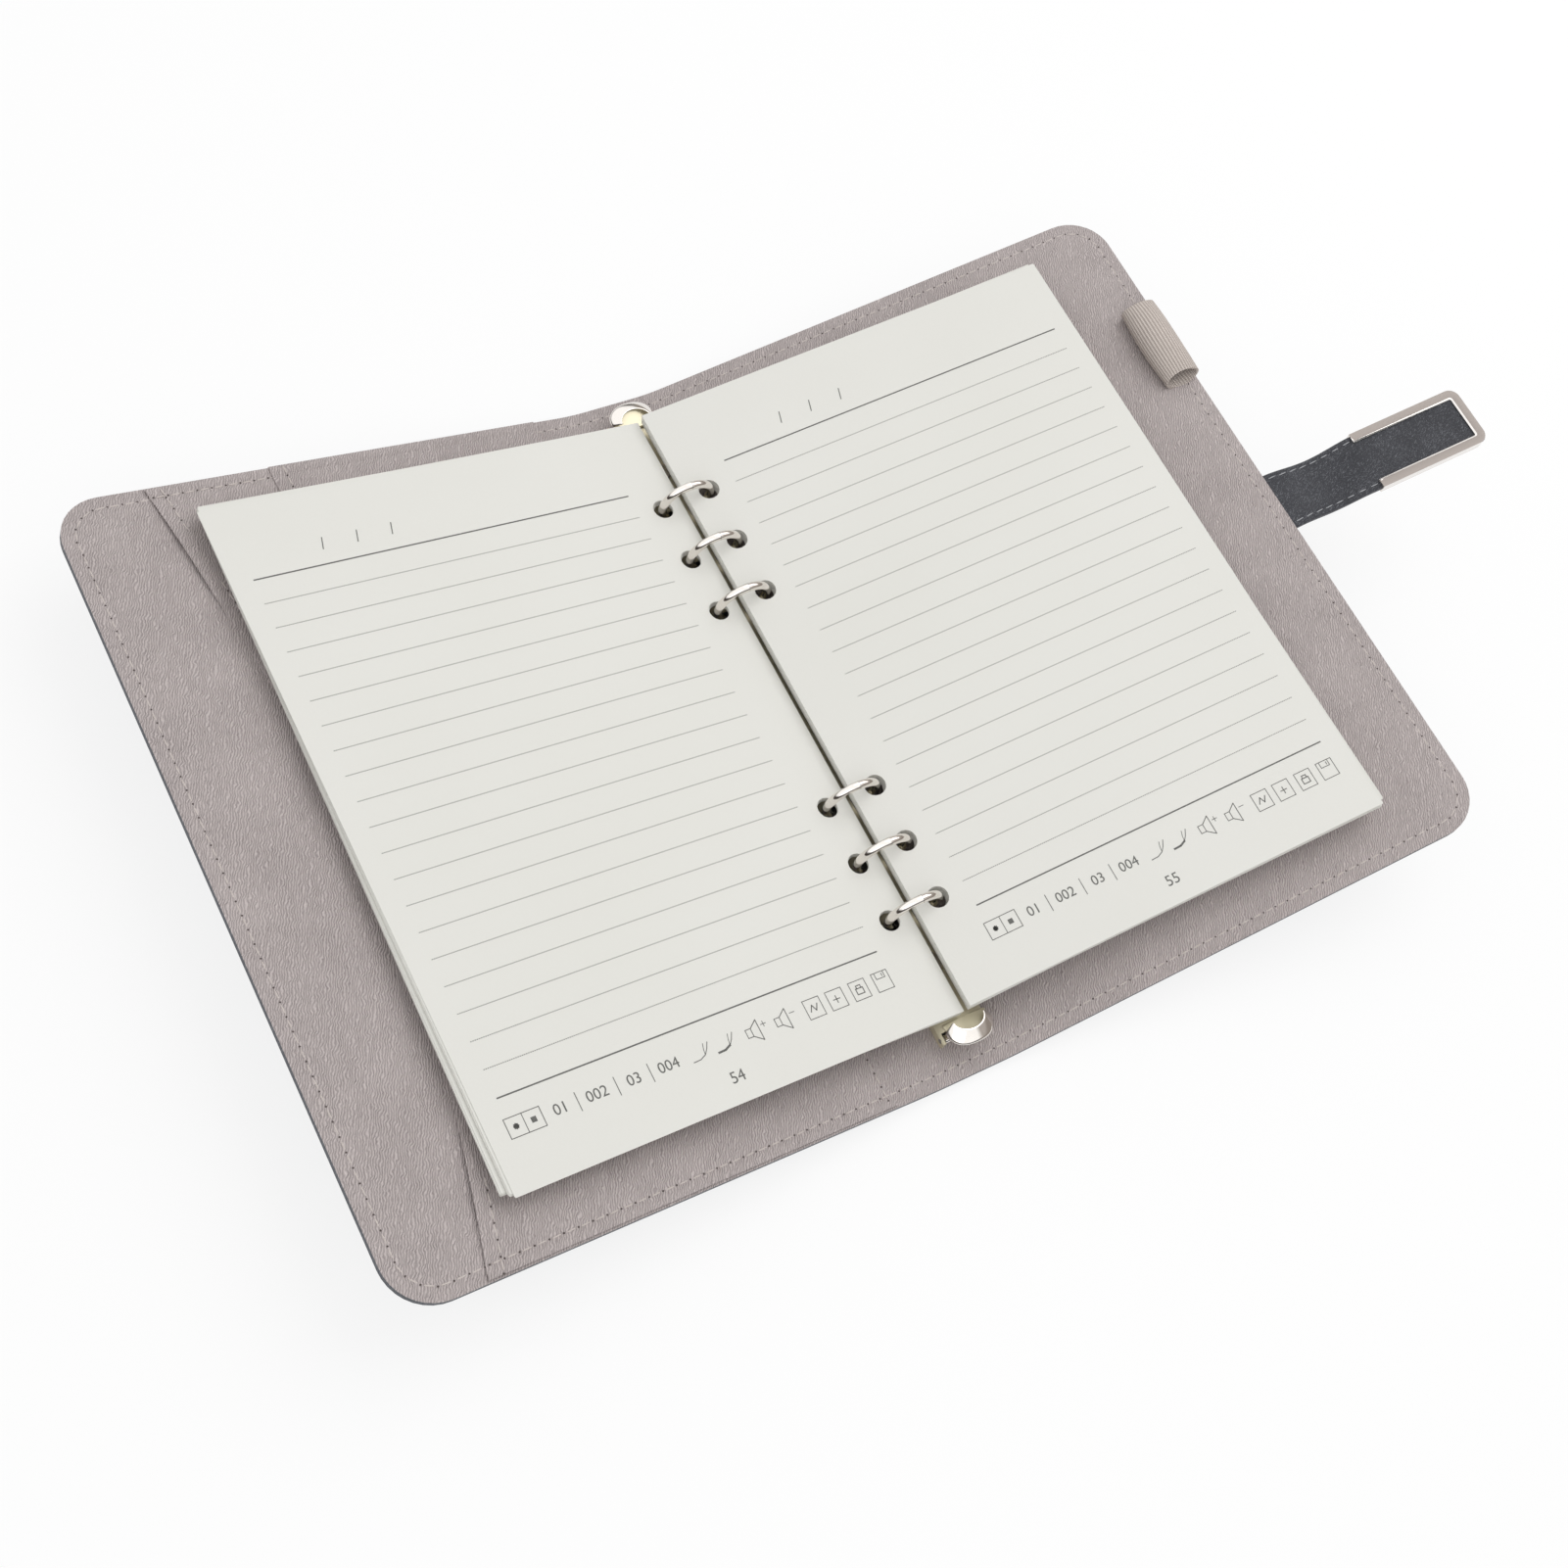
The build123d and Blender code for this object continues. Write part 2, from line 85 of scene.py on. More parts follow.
def fold(flat):
    """The place in metres of a flat point of the covers, in millimetres."""
    side, across = way(flat.x), abs(flat.x)
    part = share(across - FOLD_X + SOFT_FOLD, 2 * SOFT_FOLD)
    reach = 2 * SOFT_FOLD * (part**3 - part**4 / 2) + max(0, across - FOLD_X - SOFT_FOLD)
    lean = RISE[side] * part * part * (3 - 2 * part)
    x = across - (1 - cos(RISE[side])) * reach - flat.z * sin(lean)
    z = MID_HEIGHT + sin(RISE[side]) * reach + flat.z * cos(lean)
    return Vector((side * x, flat.y, z)) * MM


for side in (-1, 1):
    edge = fold(Vector((side * HALF_SPREAD, 0, MID_HEIGHT)))
    print("fore-edge at", [round(v * 1000, 1) for v in edge])

# %% [markdown]
# The leaves lie on a plane of their own, a little flatter than the cover under them, hinged on
# the middle of the rings. In this plane x is the distance from the ring axis and z the height
# over it.

# %% Place a point of the leaves
RING_X = 1.5
RING_Z = 15.6
LEAF_LAG = radians(2.3)


def on_leaves(side, across, along, height):
    """The place in metres of a point of the left (-1) or right (1) pile."""
    lean = RISE[side] - LEAF_LAG
    x = across * cos(lean) - height * sin(lean)
    z = RING_Z + across * sin(lean) + height * cos(lean)
    return Vector((RING_X + side * x, along, z)) * MM


print("left pile's outer edge:", on_leaves(-1, 142.4, 0, 0))

# %% [markdown]
# A shader is a sum of small sums, and long chains of Math nodes are hard to read. This small
# class wraps a socket, so an expression such as 0.3 + 0.7 * grain adds its own nodes. Every
# other node comes from one method, in which the settings come before the values, because
# some of them change the node's sockets.

# %% Write shader maths as expressions
def sum_of(operation):
    return lambda value, other: value.math(operation, other)


class Value:
    """One output of a node, that can be added, multiplied and compared."""

    __add__ = __radd__ = sum_of("ADD")
    __mul__ = __rmul__ = sum_of("MULTIPLY")
    __sub__ = sum_of("SUBTRACT")
    __gt__ = sum_of("GREATER_THAN")

    def __init__(self, finish, socket):
        self.finish = finish
        self.socket = socket

    def math(self, operation, *others):
        values = dict(enumerate((self, *others)))
        return self.finish.node("Math", {"operation": operation}, values)

    def clamp(self):
        return self.math("MINIMUM", 1.0).math("MAXIMUM", 0.0)


class Finish:
    """A material: one Principled shader and the nodes that vary it."""

    def __init__(self, name, colour, **plain):
        self.material = bpy.data.materials.new(name)
        self.material.use_nodes = True
        self.tree = self.material.node_tree
        self.shader = self.tree.nodes["Principled BSDF"]
        self.material.diffuse_color = (*colour, 1)
        self.vary(Base_Color=(*colour, 1), **plain)

    def wire(self, node, values):
        for key, value in values.items():
            if isinstance(value, Value):
                self.tree.links.new(value.socket, node.inputs[key])
            else:
                node.inputs[key].default_value = value

    def vary(self, **values):
        """Sets or wires the shader's own sockets, with _ for each space in a name."""
        self.wire(self.shader, {key.replace("_", " "): value for key, value in values.items()})

    def node(self, kind, settings, values, out=0):
        node = self.tree.nodes.new("ShaderNode" + kind)
        for key, value in settings.items():
            setattr(node, key, value)
        self.wire(node, values)
        return Value(self, node.outputs[out])

    def blend(self, mask, first, second):
        """The first colour where the mask is 0 and the second where it is 1."""
        first, second = ((*c, 1) if isinstance(c, tuple) else c for c in (first, second))
        return self.node("Mix", {"data_type": "RGBA"}, {0: mask, 6: first, 7: second}, out=2)

    def paint(self, mask, first, second):
        self.vary(Base_Color=self.blend(mask, first, second))

    def axis(self, vector, name):
        return self.node("SeparateXYZ", {}, {"Vector": vector}, out=name)

    def ray(self, kind):
        return self.node("LightPath", {}, {}, out=f"Is {kind} Ray")

    def place(self):
        return self.node("TexCoord", {}, {}, out="Object")

    def noise(self, scale, detail, roughness, distortion=0.0, vector=None):
        values = {"Vector": vector or self.place(), "Scale": scale, "Detail": detail,
                  "Roughness": roughness, "Distortion": distortion}
        return self.node("TexNoise", {}, values)

    def stretch(self, size, turn):
        """Coordinates in which one step is this size in metres, turned about z."""
        values = {"Vector": self.place(), "Scale": size, "Rotation": (0, 0, turn)}
        return self.node("Mapping", {"vector_type": "TEXTURE"}, values)

    def relief(self, height, depth, strength):
        values = {"Height": height, "Distance": depth, "Strength": strength}
        self.vary(Normal=self.node("Bump", {}, values))


def srgb(red, green, blue):
    """A screen colour from 0 to 255 as the linear colour that shaders use."""
    parts = [c / 255 for c in (red, green, blue)]
    return tuple(c / 12.92 if c < 0.04045 else ((c + 0.055) / 1.055) ** 2.4 for c in parts)


print("taupe in linear light:", [round(c, 3) for c in srgb(170, 160, 156)])

# %% [markdown]
# The lining is soft-touch artificial leather: taupe and matt, with fine wavy ripples about
# 0.7 mm apart that all run roughly one way, as the grain of wood does, and wider creases and
# clouds under them. A sine wave whose phase wanders with noise gives the ripples. The
# same noise drives colour, roughness and relief, so that each ripple is one thing.

# %% Finish the taupe lining
GRAIN_TURN = radians(-26)
RIPPLE = 0.0007


def soft_leather(name, colour, pale, deep, rough):
    finish = Finish(name, colour, Roughness=rough)
    clouds = finish.noise(60, 4, 0.6)
    creases = finish.noise(1.0, 3, 0.6, 1.1, finish.stretch((0.0009, 0.0024, 0.002), GRAIN_TURN))
    wander, strength = finish.noise(420, 2, 0.5), finish.noise(900, 2, 0.5)
    grid = finish.stretch((RIPPLE, RIPPLE, RIPPLE), GRAIN_TURN)
    ripples = ((finish.axis(grid, "X") + wander * 3) * (2 * pi)).math("SINE") * strength + 0.5
    tone = ripples * 0.45 + creases * 0.25 + clouds * 0.3
    finish.paint(tone, deep, pale)
    finish.vary(Roughness=rough - 0.12 + creases * 0.22)
    finish.relief(ripples * 0.6 + creases * 0.4, 0.00035, 0.7)
    return finish


lining = soft_leather("lining", srgb(168, 158, 156), srgb(214, 203, 201), srgb(119, 110, 109), 0.62)
lining.vary(Sheen_Weight=0.1, Sheen_Roughness=0.5)
outer = soft_leather("outer_leather", srgb(70, 73, 80), srgb(92, 96, 104), srgb(44, 46, 52), 0.55)
print("leathers:", lining.material.name, outer.material.name)

# %% [markdown]
# The strap's inner face is a darker suede. Its nap is short pale fibres scattered over a
# blue-grey ground, so a very fine stretched noise is cut off high and mixed in as specks.

# %% Finish the suede of the strap
suede = Finish("strap_suede", srgb(72, 74, 80), Roughness=0.85, Sheen_Weight=0.08,
               Sheen_Roughness=0.6)
fibres = suede.noise(1.0, 3, 0.7, 1.2, suede.stretch((0.0009, 0.0003, 0.0009), 0.6))
patches = suede.noise(90, 3, 0.6)
speck = (fibres + patches * 0.12 > 0.64) * 0.55
nap = suede.blend(patches, srgb(40, 41, 46), srgb(60, 61, 67))
suede.paint(speck, nap, srgb(126, 128, 133))
suede.relief(fibres, 0.0002, 0.6)
print("suede nodes:", len(suede.tree.nodes))

# %% [markdown]
# The leaves are cream writing paper, nearly flat in colour, with a very fine tooth. The ink of
# the ruled lines is a mid grey, broken into dots so small that they read as a pale line.

# %% Finish the paper, its ink and its dotted lines
DOT_PITCH = 0.0006


def mottled(name, middle, rough, grain, dark, pale):
    """A finish whose colour is mottled by noise of this scale, detail and roughness."""
    finish = Finish(name, middle, Roughness=rough)
    finish.paint(finish.noise(*grain), dark, pale)
    return finish


paper = Finish("paper", srgb(226, 225, 218), Roughness=0.8)
tooth = paper.noise(1500, 3, 0.6)
shade = paper.noise(14, 2, 0.5)
paper.paint(shade * 0.7 + tooth * 0.3, srgb(223, 222, 215), srgb(231, 230, 225))
paper.relief(tooth, 0.00004, 0.5)

ink = mottled("ink", srgb(120, 120, 116), 0.7, (2600, 1, 0.5), srgb(76, 76, 74),
              srgb(118, 118, 114))

rule = Finish("dotted_rule", srgb(160, 160, 155), Roughness=0.7)
dots = (rule.axis(rule.place(), "X") * (2 * pi / DOT_PITCH)).math("SINE") > 0.0
rule.paint(dots, srgb(205, 204, 198), srgb(122, 122, 118))
print("paper, ink and rule:", paper.material.name, ink.material.name, rule.material.name)

# %% [markdown]
# Nickel plate is a mirror with a warm cast. Its look is in what it reflects, so the
# material stays simple: full metal, low roughness, and a fine wear that breaks the reflection up.
# The long housing is duller and more olive. The strap's tip is lacquered to a champagne satin,
# so it is only partly metallic. Its edges are polished, and their much paler colour is a painted
# highlight that draws them as a thin bright line.

# %% Finish the metals
def plate(name, colour, rough, wear, depth, metal=1.0):
    finish = Finish(name, colour, Metallic=metal, Roughness=rough)
    smears = finish.noise(160, 4, 0.65)
    finish.paint(smears, tuple(c * 0.86 for c in colour), colour)
    finish.vary(Roughness=rough + smears * wear)
    finish.relief(finish.noise(900, 2, 0.5), depth, 0.3)
    return finish


nickel = plate("nickel", srgb(238, 233, 227), 0.05, 0.10, 0.00001)
channel = plate("housing_nickel", srgb(226, 218, 190), 0.24, 0.14, 0.00003, 0.5)
spring = plate("spring_steel", srgb(176, 176, 176), 0.32, 0.16, 0.00004)
satin = plate("satin_metal", srgb(164, 155, 149), 0.46, 0.12, 0.00003, 0.3)
# The tip's edges: a real polish, with a painted highlight in their near-white colour.
polished_edge_painted_highlight = plate("polished_edge_painted_highlight", srgb(244, 240, 236), 0.12, 0.08, 0.00001, 0.8)
magnet_plate = plate("magnet", srgb(186, 186, 190), 0.25, 0.14, 0.00003)
print("metals:", nickel.material.name, channel.material.name, satin.material.name)

# %% [markdown]
# Sewing thread is a two-ply polyester, a touch paler than the lining, and grey on the strap. The
# needle leaves a small hole at each end of a stitch, drawn as a dark disc of painted shade. The
# pen loop is ribbed elastic: fine cords run along it, with the weft between them.

# %% Finish the thread, the painted shade of the needle holes, the elastic and the board
RIBS = 17
WEFT_PITCH = 0.6


def yarn(name, dark, pale):
    finish = Finish(name, pale, Roughness=0.6)
    plies = finish.noise(3200, 2, 0.5)
    finish.paint(plies, dark, pale)
    finish.relief(plies, 0.00005, 0.6)
    return finish


thread = yarn("thread", srgb(180, 170, 165), srgb(214, 205, 200))
strap_thread = yarn("strap_thread", srgb(146, 148, 152), srgb(186, 187, 190))

# The needle holes' dark colour is painted shade of the small recess.
needle = mottled("needle_hole_shade", srgb(84, 76, 73), 0.9, (2500, 1, 0.5), srgb(64, 56, 54),
                 srgb(100, 91, 88))

elastic = Finish("elastic", srgb(190, 179, 171), Roughness=0.8)
lanes = elastic.node("Attribute", {"attribute_name": "round_loop"}, {}, out="Fac")
runs = elastic.node("Attribute", {"attribute_name": "along_loop"}, {}, out="Fac")
ribs = (lanes * (2 * pi * RIBS)).math("SINE")
weft = (runs * (2 * pi / WEFT_PITCH)).math("SINE")
weave = ribs * 0.36 + weft * 0.14 + 0.5
elastic.paint(weave, srgb(158, 146, 139), srgb(220, 210, 202))
elastic.relief(weave, 0.0003, 0.8)

board = mottled("board", srgb(150, 142, 130), 0.9, (700, 3, 0.7), srgb(132, 124, 112),
                srgb(166, 158, 146))
print("sewing and board:", [f.material.name for f in (thread, strap_thread, elastic, board)])

# %% [markdown]
# CAD nodes whose shape is already right keep it and only get a finish: the rings, the housing,
# its rivets and pins, and the hidden boards and plates.

# %% Give the CAD parts their finishes
FINISHES = {
    "outer_leather": outer, "lining": lining, "board": board, "strap_suede": suede,
    "elastic": elastic, "paper": paper, "nickel": nickel, "housing_nickel": channel,
    "satin_metal": satin, "spring_steel": spring, "magnet": magnet_plate,
}
for part in frame["record"]["subparts"]:
    node = frame["nodes"][part["node"]]
    node.data.materials.clear()
    node.data.materials.append(FINISHES[part["material_slot"]].material)
print("CAD parts finished:", len(frame["nodes"]))

# %% [markdown]
# Each new piece is modelled flat and in millimetres, then every vertex goes through the function
# that places it. Its faces are turned outwards, and edges sharper than a given angle stay crisp.
# The object itself stays at the origin.

# %% Turn a flat model into a finished piece
def to_mesh(name, bm):
    mesh = bpy.data.meshes.new(name)
    bm.to_mesh(mesh)
    bm.free()
    return mesh


def link(name, data):
    made = bpy.data.objects.new(name, data)
    bpy.context.scene.collection.objects.link(made)
    return made


def finish_piece(name, bm, lay, hold, finish, sharp=35, replaces=()):
    """Places a flat model and gives it its finish. A body's name or a function holds it."""
    for vert in bm.verts:
        vert.co = lay(vert.co)
    bmesh.ops.recalc_face_normals(bm, faces=bm.faces)
    mesh = to_mesh(name, bm)
    mesh.polygons.foreach_set("use_smooth", [True] * len(mesh.polygons))
    mesh.set_sharp_from_angle(angle=radians(sharp))
    piece = link(name, mesh)
    mesh.materials.append(finish.material)
    # A name that Blender has numbered, such as lining.001, isn't a slot of the record.
    if replaces:
        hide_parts(*replaces)
    if isinstance(hold, str):
        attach(piece, hold)
    else:
        hold(piece)
    print(name, "faces:", len(mesh.polygons))
    return piece


print("finishes:", len(FINISHES))

# %% [markdown]
# A few operations come back in almost every piece, so each gets a short name.

# %% Name the operations that come back
def flat_sheet(left, right, half, y=0.0, z=0.0, across=1, along=1):
    """A flat grid from left to right in x, and by half its height either side of y."""
    bm = bmesh.new()
    bmesh.ops.create_grid(bm, x_segments=across, y_segments=along, size=1)
    bmesh.ops.scale(bm, vec=((right - left) / 2, half, 1), verts=bm.verts)
    bmesh.ops.translate(bm, vec=((left + right) / 2, y, z), verts=bm.verts)
    return bm


def split(bm, point, normal, drop_inner=False):
    geom = bm.verts[:] + bm.edges[:] + bm.faces[:]
    bmesh.ops.bisect_plane(bm, geom=geom, plane_co=point, plane_no=normal,
                           clear_inner=drop_inner, dist=0.001)


def cut(bm, axis, places):
    """Cuts a flat model across at each of these places along x (0) or y (1)."""
    normal = Vector((1 - axis, axis, 0))
    for place in places:
        split(bm, normal * place, normal)


def round_corners(bm, corners, radius, segments):
    bmesh.ops.bevel(bm, geom=corners, affect="VERTICES", offset=radius, segments=segments,
                    profile=0.5, material=-1)


def points_of(geom):
    return [item for item in geom if isinstance(item, bmesh.types.BMVert)]


def extrude_up(bm, height, faces=None):
    """Extrudes all faces, or these, by a height. Returns the new points."""
    raised = points_of(bmesh.ops.extrude_face_region(bm, geom=faces or bm.faces[:])["geom"])
    bmesh.ops.translate(bm, vec=(0, 0, height), verts=raised)
    return raised


def steps(start, end, count):
    return [start + (end - start) * i / count for i in range(count + 1)]


def mirrored(places):
    return [side * place for side in (-1, 1) for place in places]


def sized(at, size, turn=0.0):
    """Where and how large a unit shape is made, turned about z."""
    return Matrix.Translation(at) @ Matrix.Rotation(turn, 4, "Z") @ Matrix.Diagonal((*size, 1))


print("a unit in four steps:", steps(0, 1, 4))

# %% [markdown]
# A sewn edge has a shape of its own: the skins meet thin at the rim, swell a little, are pulled
# down where the thread runs, and rise again to full thickness over the board. The height
# of the lining is read from this profile by the distance from the rim, and a very slow
# unevenness is added.

# %% Shape the skins by their distance from the rim
LINING_RIM = ((0, 1.15), (0.35, 1.5), (1.0, 1.68), (2.2, 1.74), (3.3, 1.66), (4.0, 1.42),
              (4.7, 1.64), (7.5, 1.84), (12, 1.82), (200, 1.8))
LEATHER_RIM = ((0, -1.0), (0.35, -1.45), (1.0, -1.7), (2.2, -1.78), (3.3, -1.72), (4.0, -1.5),
               (4.7, -1.7), (7.5, -1.8), (200, -1.8))
SEAM_DEPTH = 4.0
BOARD_DEPTH = 7.0


def read(profile, depth):
    for (near, low), (far, high) in zip(profile, profile[1:]):
        if depth <= far:
            return low + (high - low) * max(0, depth - near) / (far - near)
    return profile[-1][1]


def rim_depth(x, y):
    """How far a flat point lies inside the rounded rim of the open notebook."""
    over_x = abs(x) - HALF_SPREAD + CORNER
    over_y = abs(y) - HALF_HEIGHT + CORNER
    return CORNER - hypot(max(over_x, 0), max(over_y, 0)) - min(max(over_x, over_y), 0)


def lining_height(x, y):
    depth = rim_depth(x, y)
    swell = noise.noise(Vector((x / 38, y / 38, 3.1))) * 0.22 * share(depth - 6, 14)
    return read(LINING_RIM, depth) + swell


def leather_height(x, y):
    return read(LEATHER_RIM, rim_depth(x, y))


print("lining height at the seam and inside it:", lining_height(0, 116.4), lining_height(90, 0))

# %% [markdown]
# Both skins start as one flat sheet as large as the open notebook. Its corners are rounded by
# a vertex bevel, insets add loops at the depths where the rim profile turns, and straight cuts
# add a grid that can bend at the folds. The sheet is then cut in two at the middle of the spine,
# because each half bends with its own cover, and extruded to its thickness.

# %% Cut and shape the two skins
def open_sheet():
    bm = flat_sheet(-HALF_SPREAD, HALF_SPREAD, HALF_HEIGHT)
    round_corners(bm, bm.verts[:], CORNER, 9)
    field = max(bm.faces, key=lambda face: face.calc_area())
    depth = 0
    for turn in (0.35, 1.0, 2.2, 3.3, 4.0, 4.7, 7.2, 9.5, 12):
        bmesh.ops.inset_region(bm, faces=[field], thickness=turn - depth, use_even_offset=True)
        depth = turn
    cut(bm, 0, mirrored([FOLD_X + d for d in range(-7, 8, 2)]) + steps(-172, 172, 50))
    cut(bm, 1, steps(-114, 114, 34))
    return bm


def skin_half(bm, side, top, bottom):
    """One half of a sheet, given its two surfaces as functions of x and y."""
    half = bm.copy()
    split(half, (0, 0, 0), (side, 0, 0), drop_inner=True)
    upper = set(extrude_up(half, 0))
    for vert in half.verts:
        surface = top if vert in upper else bottom
        vert.co.z = surface(vert.co.x, vert.co.y)
    return half


def inside_leather(x, y):
    return 0.98 if rim_depth(x, y) < BOARD_DEPTH else -0.82


SIDE_NAME = {-1: "left", 1: "right"}


def with_cover():
    """Bakes a piece's place into its mesh; the piece is held to no body."""
    return lambda piece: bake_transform(piece)


REPLACED = {-1: ("front_{0}", "spine_{0}"), 1: ("back_{0}",)}
sheet = open_sheet()
for side in (-1, 1):
    for kind, finish, top, bottom in (("lining", lining, lining_height, lambda x, y: 1.0),
                                      ("leather", outer, inside_leather, leather_height)):
        finish_piece(f"{SIDE_NAME[side]}_{kind}_skin", skin_half(sheet, side, top, bottom),
                     fold, with_cover(), finish,
                     replaces=[name.format(kind) for name in REPLACED[side]])
sheet.free()

# %% [markdown]
# Stitches are small and repeated hundreds of times, so each is a low rounded bead of a few
# dozen faces. A row walks along a path at an even pitch and lays a bead between two needle
# holes, each a dark disc of painted shade, at the height of the surface.

# %% Sew rows of stitches
STITCH_PITCH = 4.2
THREAD_LIFT = 0.08
NEEDLE_ROUND = 0.27


def walk(path):
    """Points and directions at the stitches' pitch along a line of flat points."""
    spans = [((b - a).length, a, b) for a, b in zip(path, path[1:])]
    total = sum(length for length, a, b in spans)
    count = max(1, round(total / STITCH_PITCH))
    for index in range(count):
        target = (index + 0.5) * total / count
        for length, a, b in spans:
            if target <= length:
                yield a + (b - a) * target / length, (b - a).normalized()
                break
            target -= length


def sew(rows, surface, lift=THREAD_LIFT, bead=(1.5, 0.25, 0.17)):
    """Beads of thread, and dark discs of painted shade for the needle holes, along each row, on a
    surface given by its height.
    """
    beads, holes = bmesh.new(), bmesh.new()
    for spot, heading in (stop for row in rows for stop in walk(row)):
        at = (*spot, surface(*spot) + lift)
        turn = atan2(heading.y, heading.x) + 0.05
        bmesh.ops.create_uvsphere(beads, u_segments=7, v_segments=5, radius=1,
                                  matrix=sized(at, bead, turn))
        # Each needle hole is a flat dark disc: painted shade.
        end = spot + heading * STITCH_PITCH / 2
        at = (*end, surface(*end) + lift - 0.02 * way(lift))
        bmesh.ops.create_cone(holes, cap_ends=True, segments=8, radius1=NEEDLE_ROUND,
                              radius2=NEEDLE_ROUND, depth=0.2, matrix=Matrix.Translation(at))
    return beads, holes


def seam(name, rows, surface, hold, lift=THREAD_LIFT):
    beads, holes = sew(rows, surface, lift)
    finish_piece(name + "_thread", beads, fold, hold, thread)
    finish_piece(name + "_needle_holes", holes, fold, hold, needle)


def rim_row(side):
    """The path of the sewn rim on one half, from the spine round the fore-edge and back."""
    x, y, r = HALF_SPREAD - CORNER, HALF_HEIGHT - CORNER, CORNER - SEAM_DEPTH
    bends = [(x + r * cos(radians(a)), corner * y + r * sin(radians(a)))
             for corner, first in ((1, 90), (-1, 0)) for a in steps(first, first - 90, 8)]
    return [Vector((side * px, py)) for px, py in ((0, y + r), *bends, (0, -y - r))]


for side in (-1, 1):
    for place, surface, lift in (("inner", lining_height, THREAD_LIFT),
                                 ("outer", leather_height, -0.02)):
        seam(f"{SIDE_NAME[side]}_{place}_rim", [rim_row(side)], surface, with_cover(), lift)

# %% [markdown]
# Two pockets are sewn on the inner front cover. Each is one panel of the same lining, turned
# over at its mouth, so the mouth is thicker. The slip pocket's mouth is a shallow V and the card
# pocket's is straight. The panels follow the lining under them, and their outer ends are caught
# in the rim seam. A mouth stands a little open, but only where no leaves lie on it.

# %% Cut and lay the pockets
POCKET = 0.6
LEAF_REACH = 145.2
POCKET_IN = 14.5
POCKET_END = HALF_HEIGHT - 0.6
CARD_FOOT = -38.0


def front(*places):
    """Flat points of the front cover, each given by its distance from the fold and its y."""
    return [Vector((-FOLD_X - out, y)) for out, y in places]


SLIP_MOUTH = front((138.5, POCKET_END), (118.3, -18.6), (142.3, -POCKET_END))
CARD_MOUTH = front((102.0, POCKET_END), (102.0, CARD_FOOT))


def from_line(x, y, line):
    """Distance of a flat point from a broken line."""
    best = 1e9
    for a, b in zip(line, line[1:]):
        along = share((Vector((x, y)) - a).dot(b - a), (b - a).length_squared)
        best = min(best, (Vector((x, y)) - a - (b - a) * along).length)
    return best


def slip_height(x, y):
    """The slip pocket's face. Its mouth gapes and ends in a low lip where no leaves lie on it."""
    inside = from_line(x, y, SLIP_MOUTH)
    gape = max(0, 1 - inside / 8) ** 1.5 + 0.25 * max(0, 1 - abs(inside - 0.3) / 0.6)
    gape *= share(-x - LEAF_REACH, 2.5)
    return lining_height(x, y) + POCKET + gape * min(1, rim_depth(x, y) / 20)


def card_height(x, y):
    gape = 0.3 * max(0, 1 - from_line(x, y, CARD_MOUTH) / 7)
    return slip_height(x, y) + POCKET + gape * min(1, rim_depth(x, y) / 20)


def pocket_panel(name, outline, top):
    """A panel that follows the lining, its rim rolled down, ready on the front cover."""
    bm = bmesh.new()
    field = bm.faces.new([bm.verts.new((*p, 0)) for p in outline])
    for width in (0.3, 0.7):
        bmesh.ops.inset_region(bm, faces=[field], thickness=width, use_even_offset=True)
    cut(bm, 0, steps(-158, -24, 24))
    cut(bm, 1, mirrored((119.2, 118.2, 117.1, 116.4, 115.7, 113)))
    cut(bm, 1, steps(-108, 108, 30))
    upper = set(extrude_up(bm, 0))
    for vert in bm.verts:
        x, y = vert.co.x, vert.co.y
        roll = 0.22 if from_line(x, y, [*outline, outline[0]]) < 0.05 else 0
        vert.co.z = top(x, y) - (roll if vert in upper else POCKET - 0.03)
    finish_piece(name + "_panel", bm, fold, "front_cover", lining, replaces=(name,))


head = (POCKET_IN, POCKET_END)
pocket_panel("slip_pocket", SLIP_MOUTH + front((POCKET_IN, -POCKET_END), head), slip_height)
pocket_panel("card_pocket", CARD_MOUTH + front((POCKET_IN, CARD_FOOT), head), card_height)

# %% [markdown]
# The pockets' own seams: a row a few millimetres inside each mouth that holds the turned hem,
# and a row near the spine that closes them. The rim seam passes over the panels too, so a
# second set of beads is laid there at the panels' height.

# %% Sew the pockets
HEM = Vector((4.2, 0))
SPINE_SEAM = POCKET_IN + 2.2
RIM_SEAM = HALF_HEIGHT - SEAM_DEPTH

spine_row = front((SPINE_SEAM, POCKET_END - 2), (SPINE_SEAM, 2 - POCKET_END))
rim_rows = [front((POCKET_IN, RIM_SEAM), (137.0, RIM_SEAM)),
            front((POCKET_IN, -RIM_SEAM), (140.5, -RIM_SEAM))]
for name, rows, surface in (("slip_mouth", [[p + HEM for p in SLIP_MOUTH]], slip_height),
                            ("card_mouth", [[p + HEM for p in CARD_MOUTH]], card_height),
                            ("pocket_spine", [spine_row], slip_height),
                            ("pocket_rim", rim_rows, slip_height)):
    seam(name, rows, surface, "front_cover")

# %% [markdown]
# A leaf is a thin sheet with six punched holes. Cuts give each hole a square cell, its edges
# are divided, an inset makes an inner loop that is pushed out to a circle, and the middle
# is deleted. One extrusion then gives the sheet its thickness and the holes their walls.

# %% Punch one leaf
LEAF_WIDTH = 142.0
LEAF_HALF = 105.0
LEAF_THICK = 0.2
HOLE_IN = 7.3
HOLE_ROUND = 3.25
HOLE_CELL = 4.5
HOLES = mirrored((35, 54, 73))


def face_at(bm, spot):
    return min(bm.faces, key=lambda face: (face.calc_center_median() - spot).length)


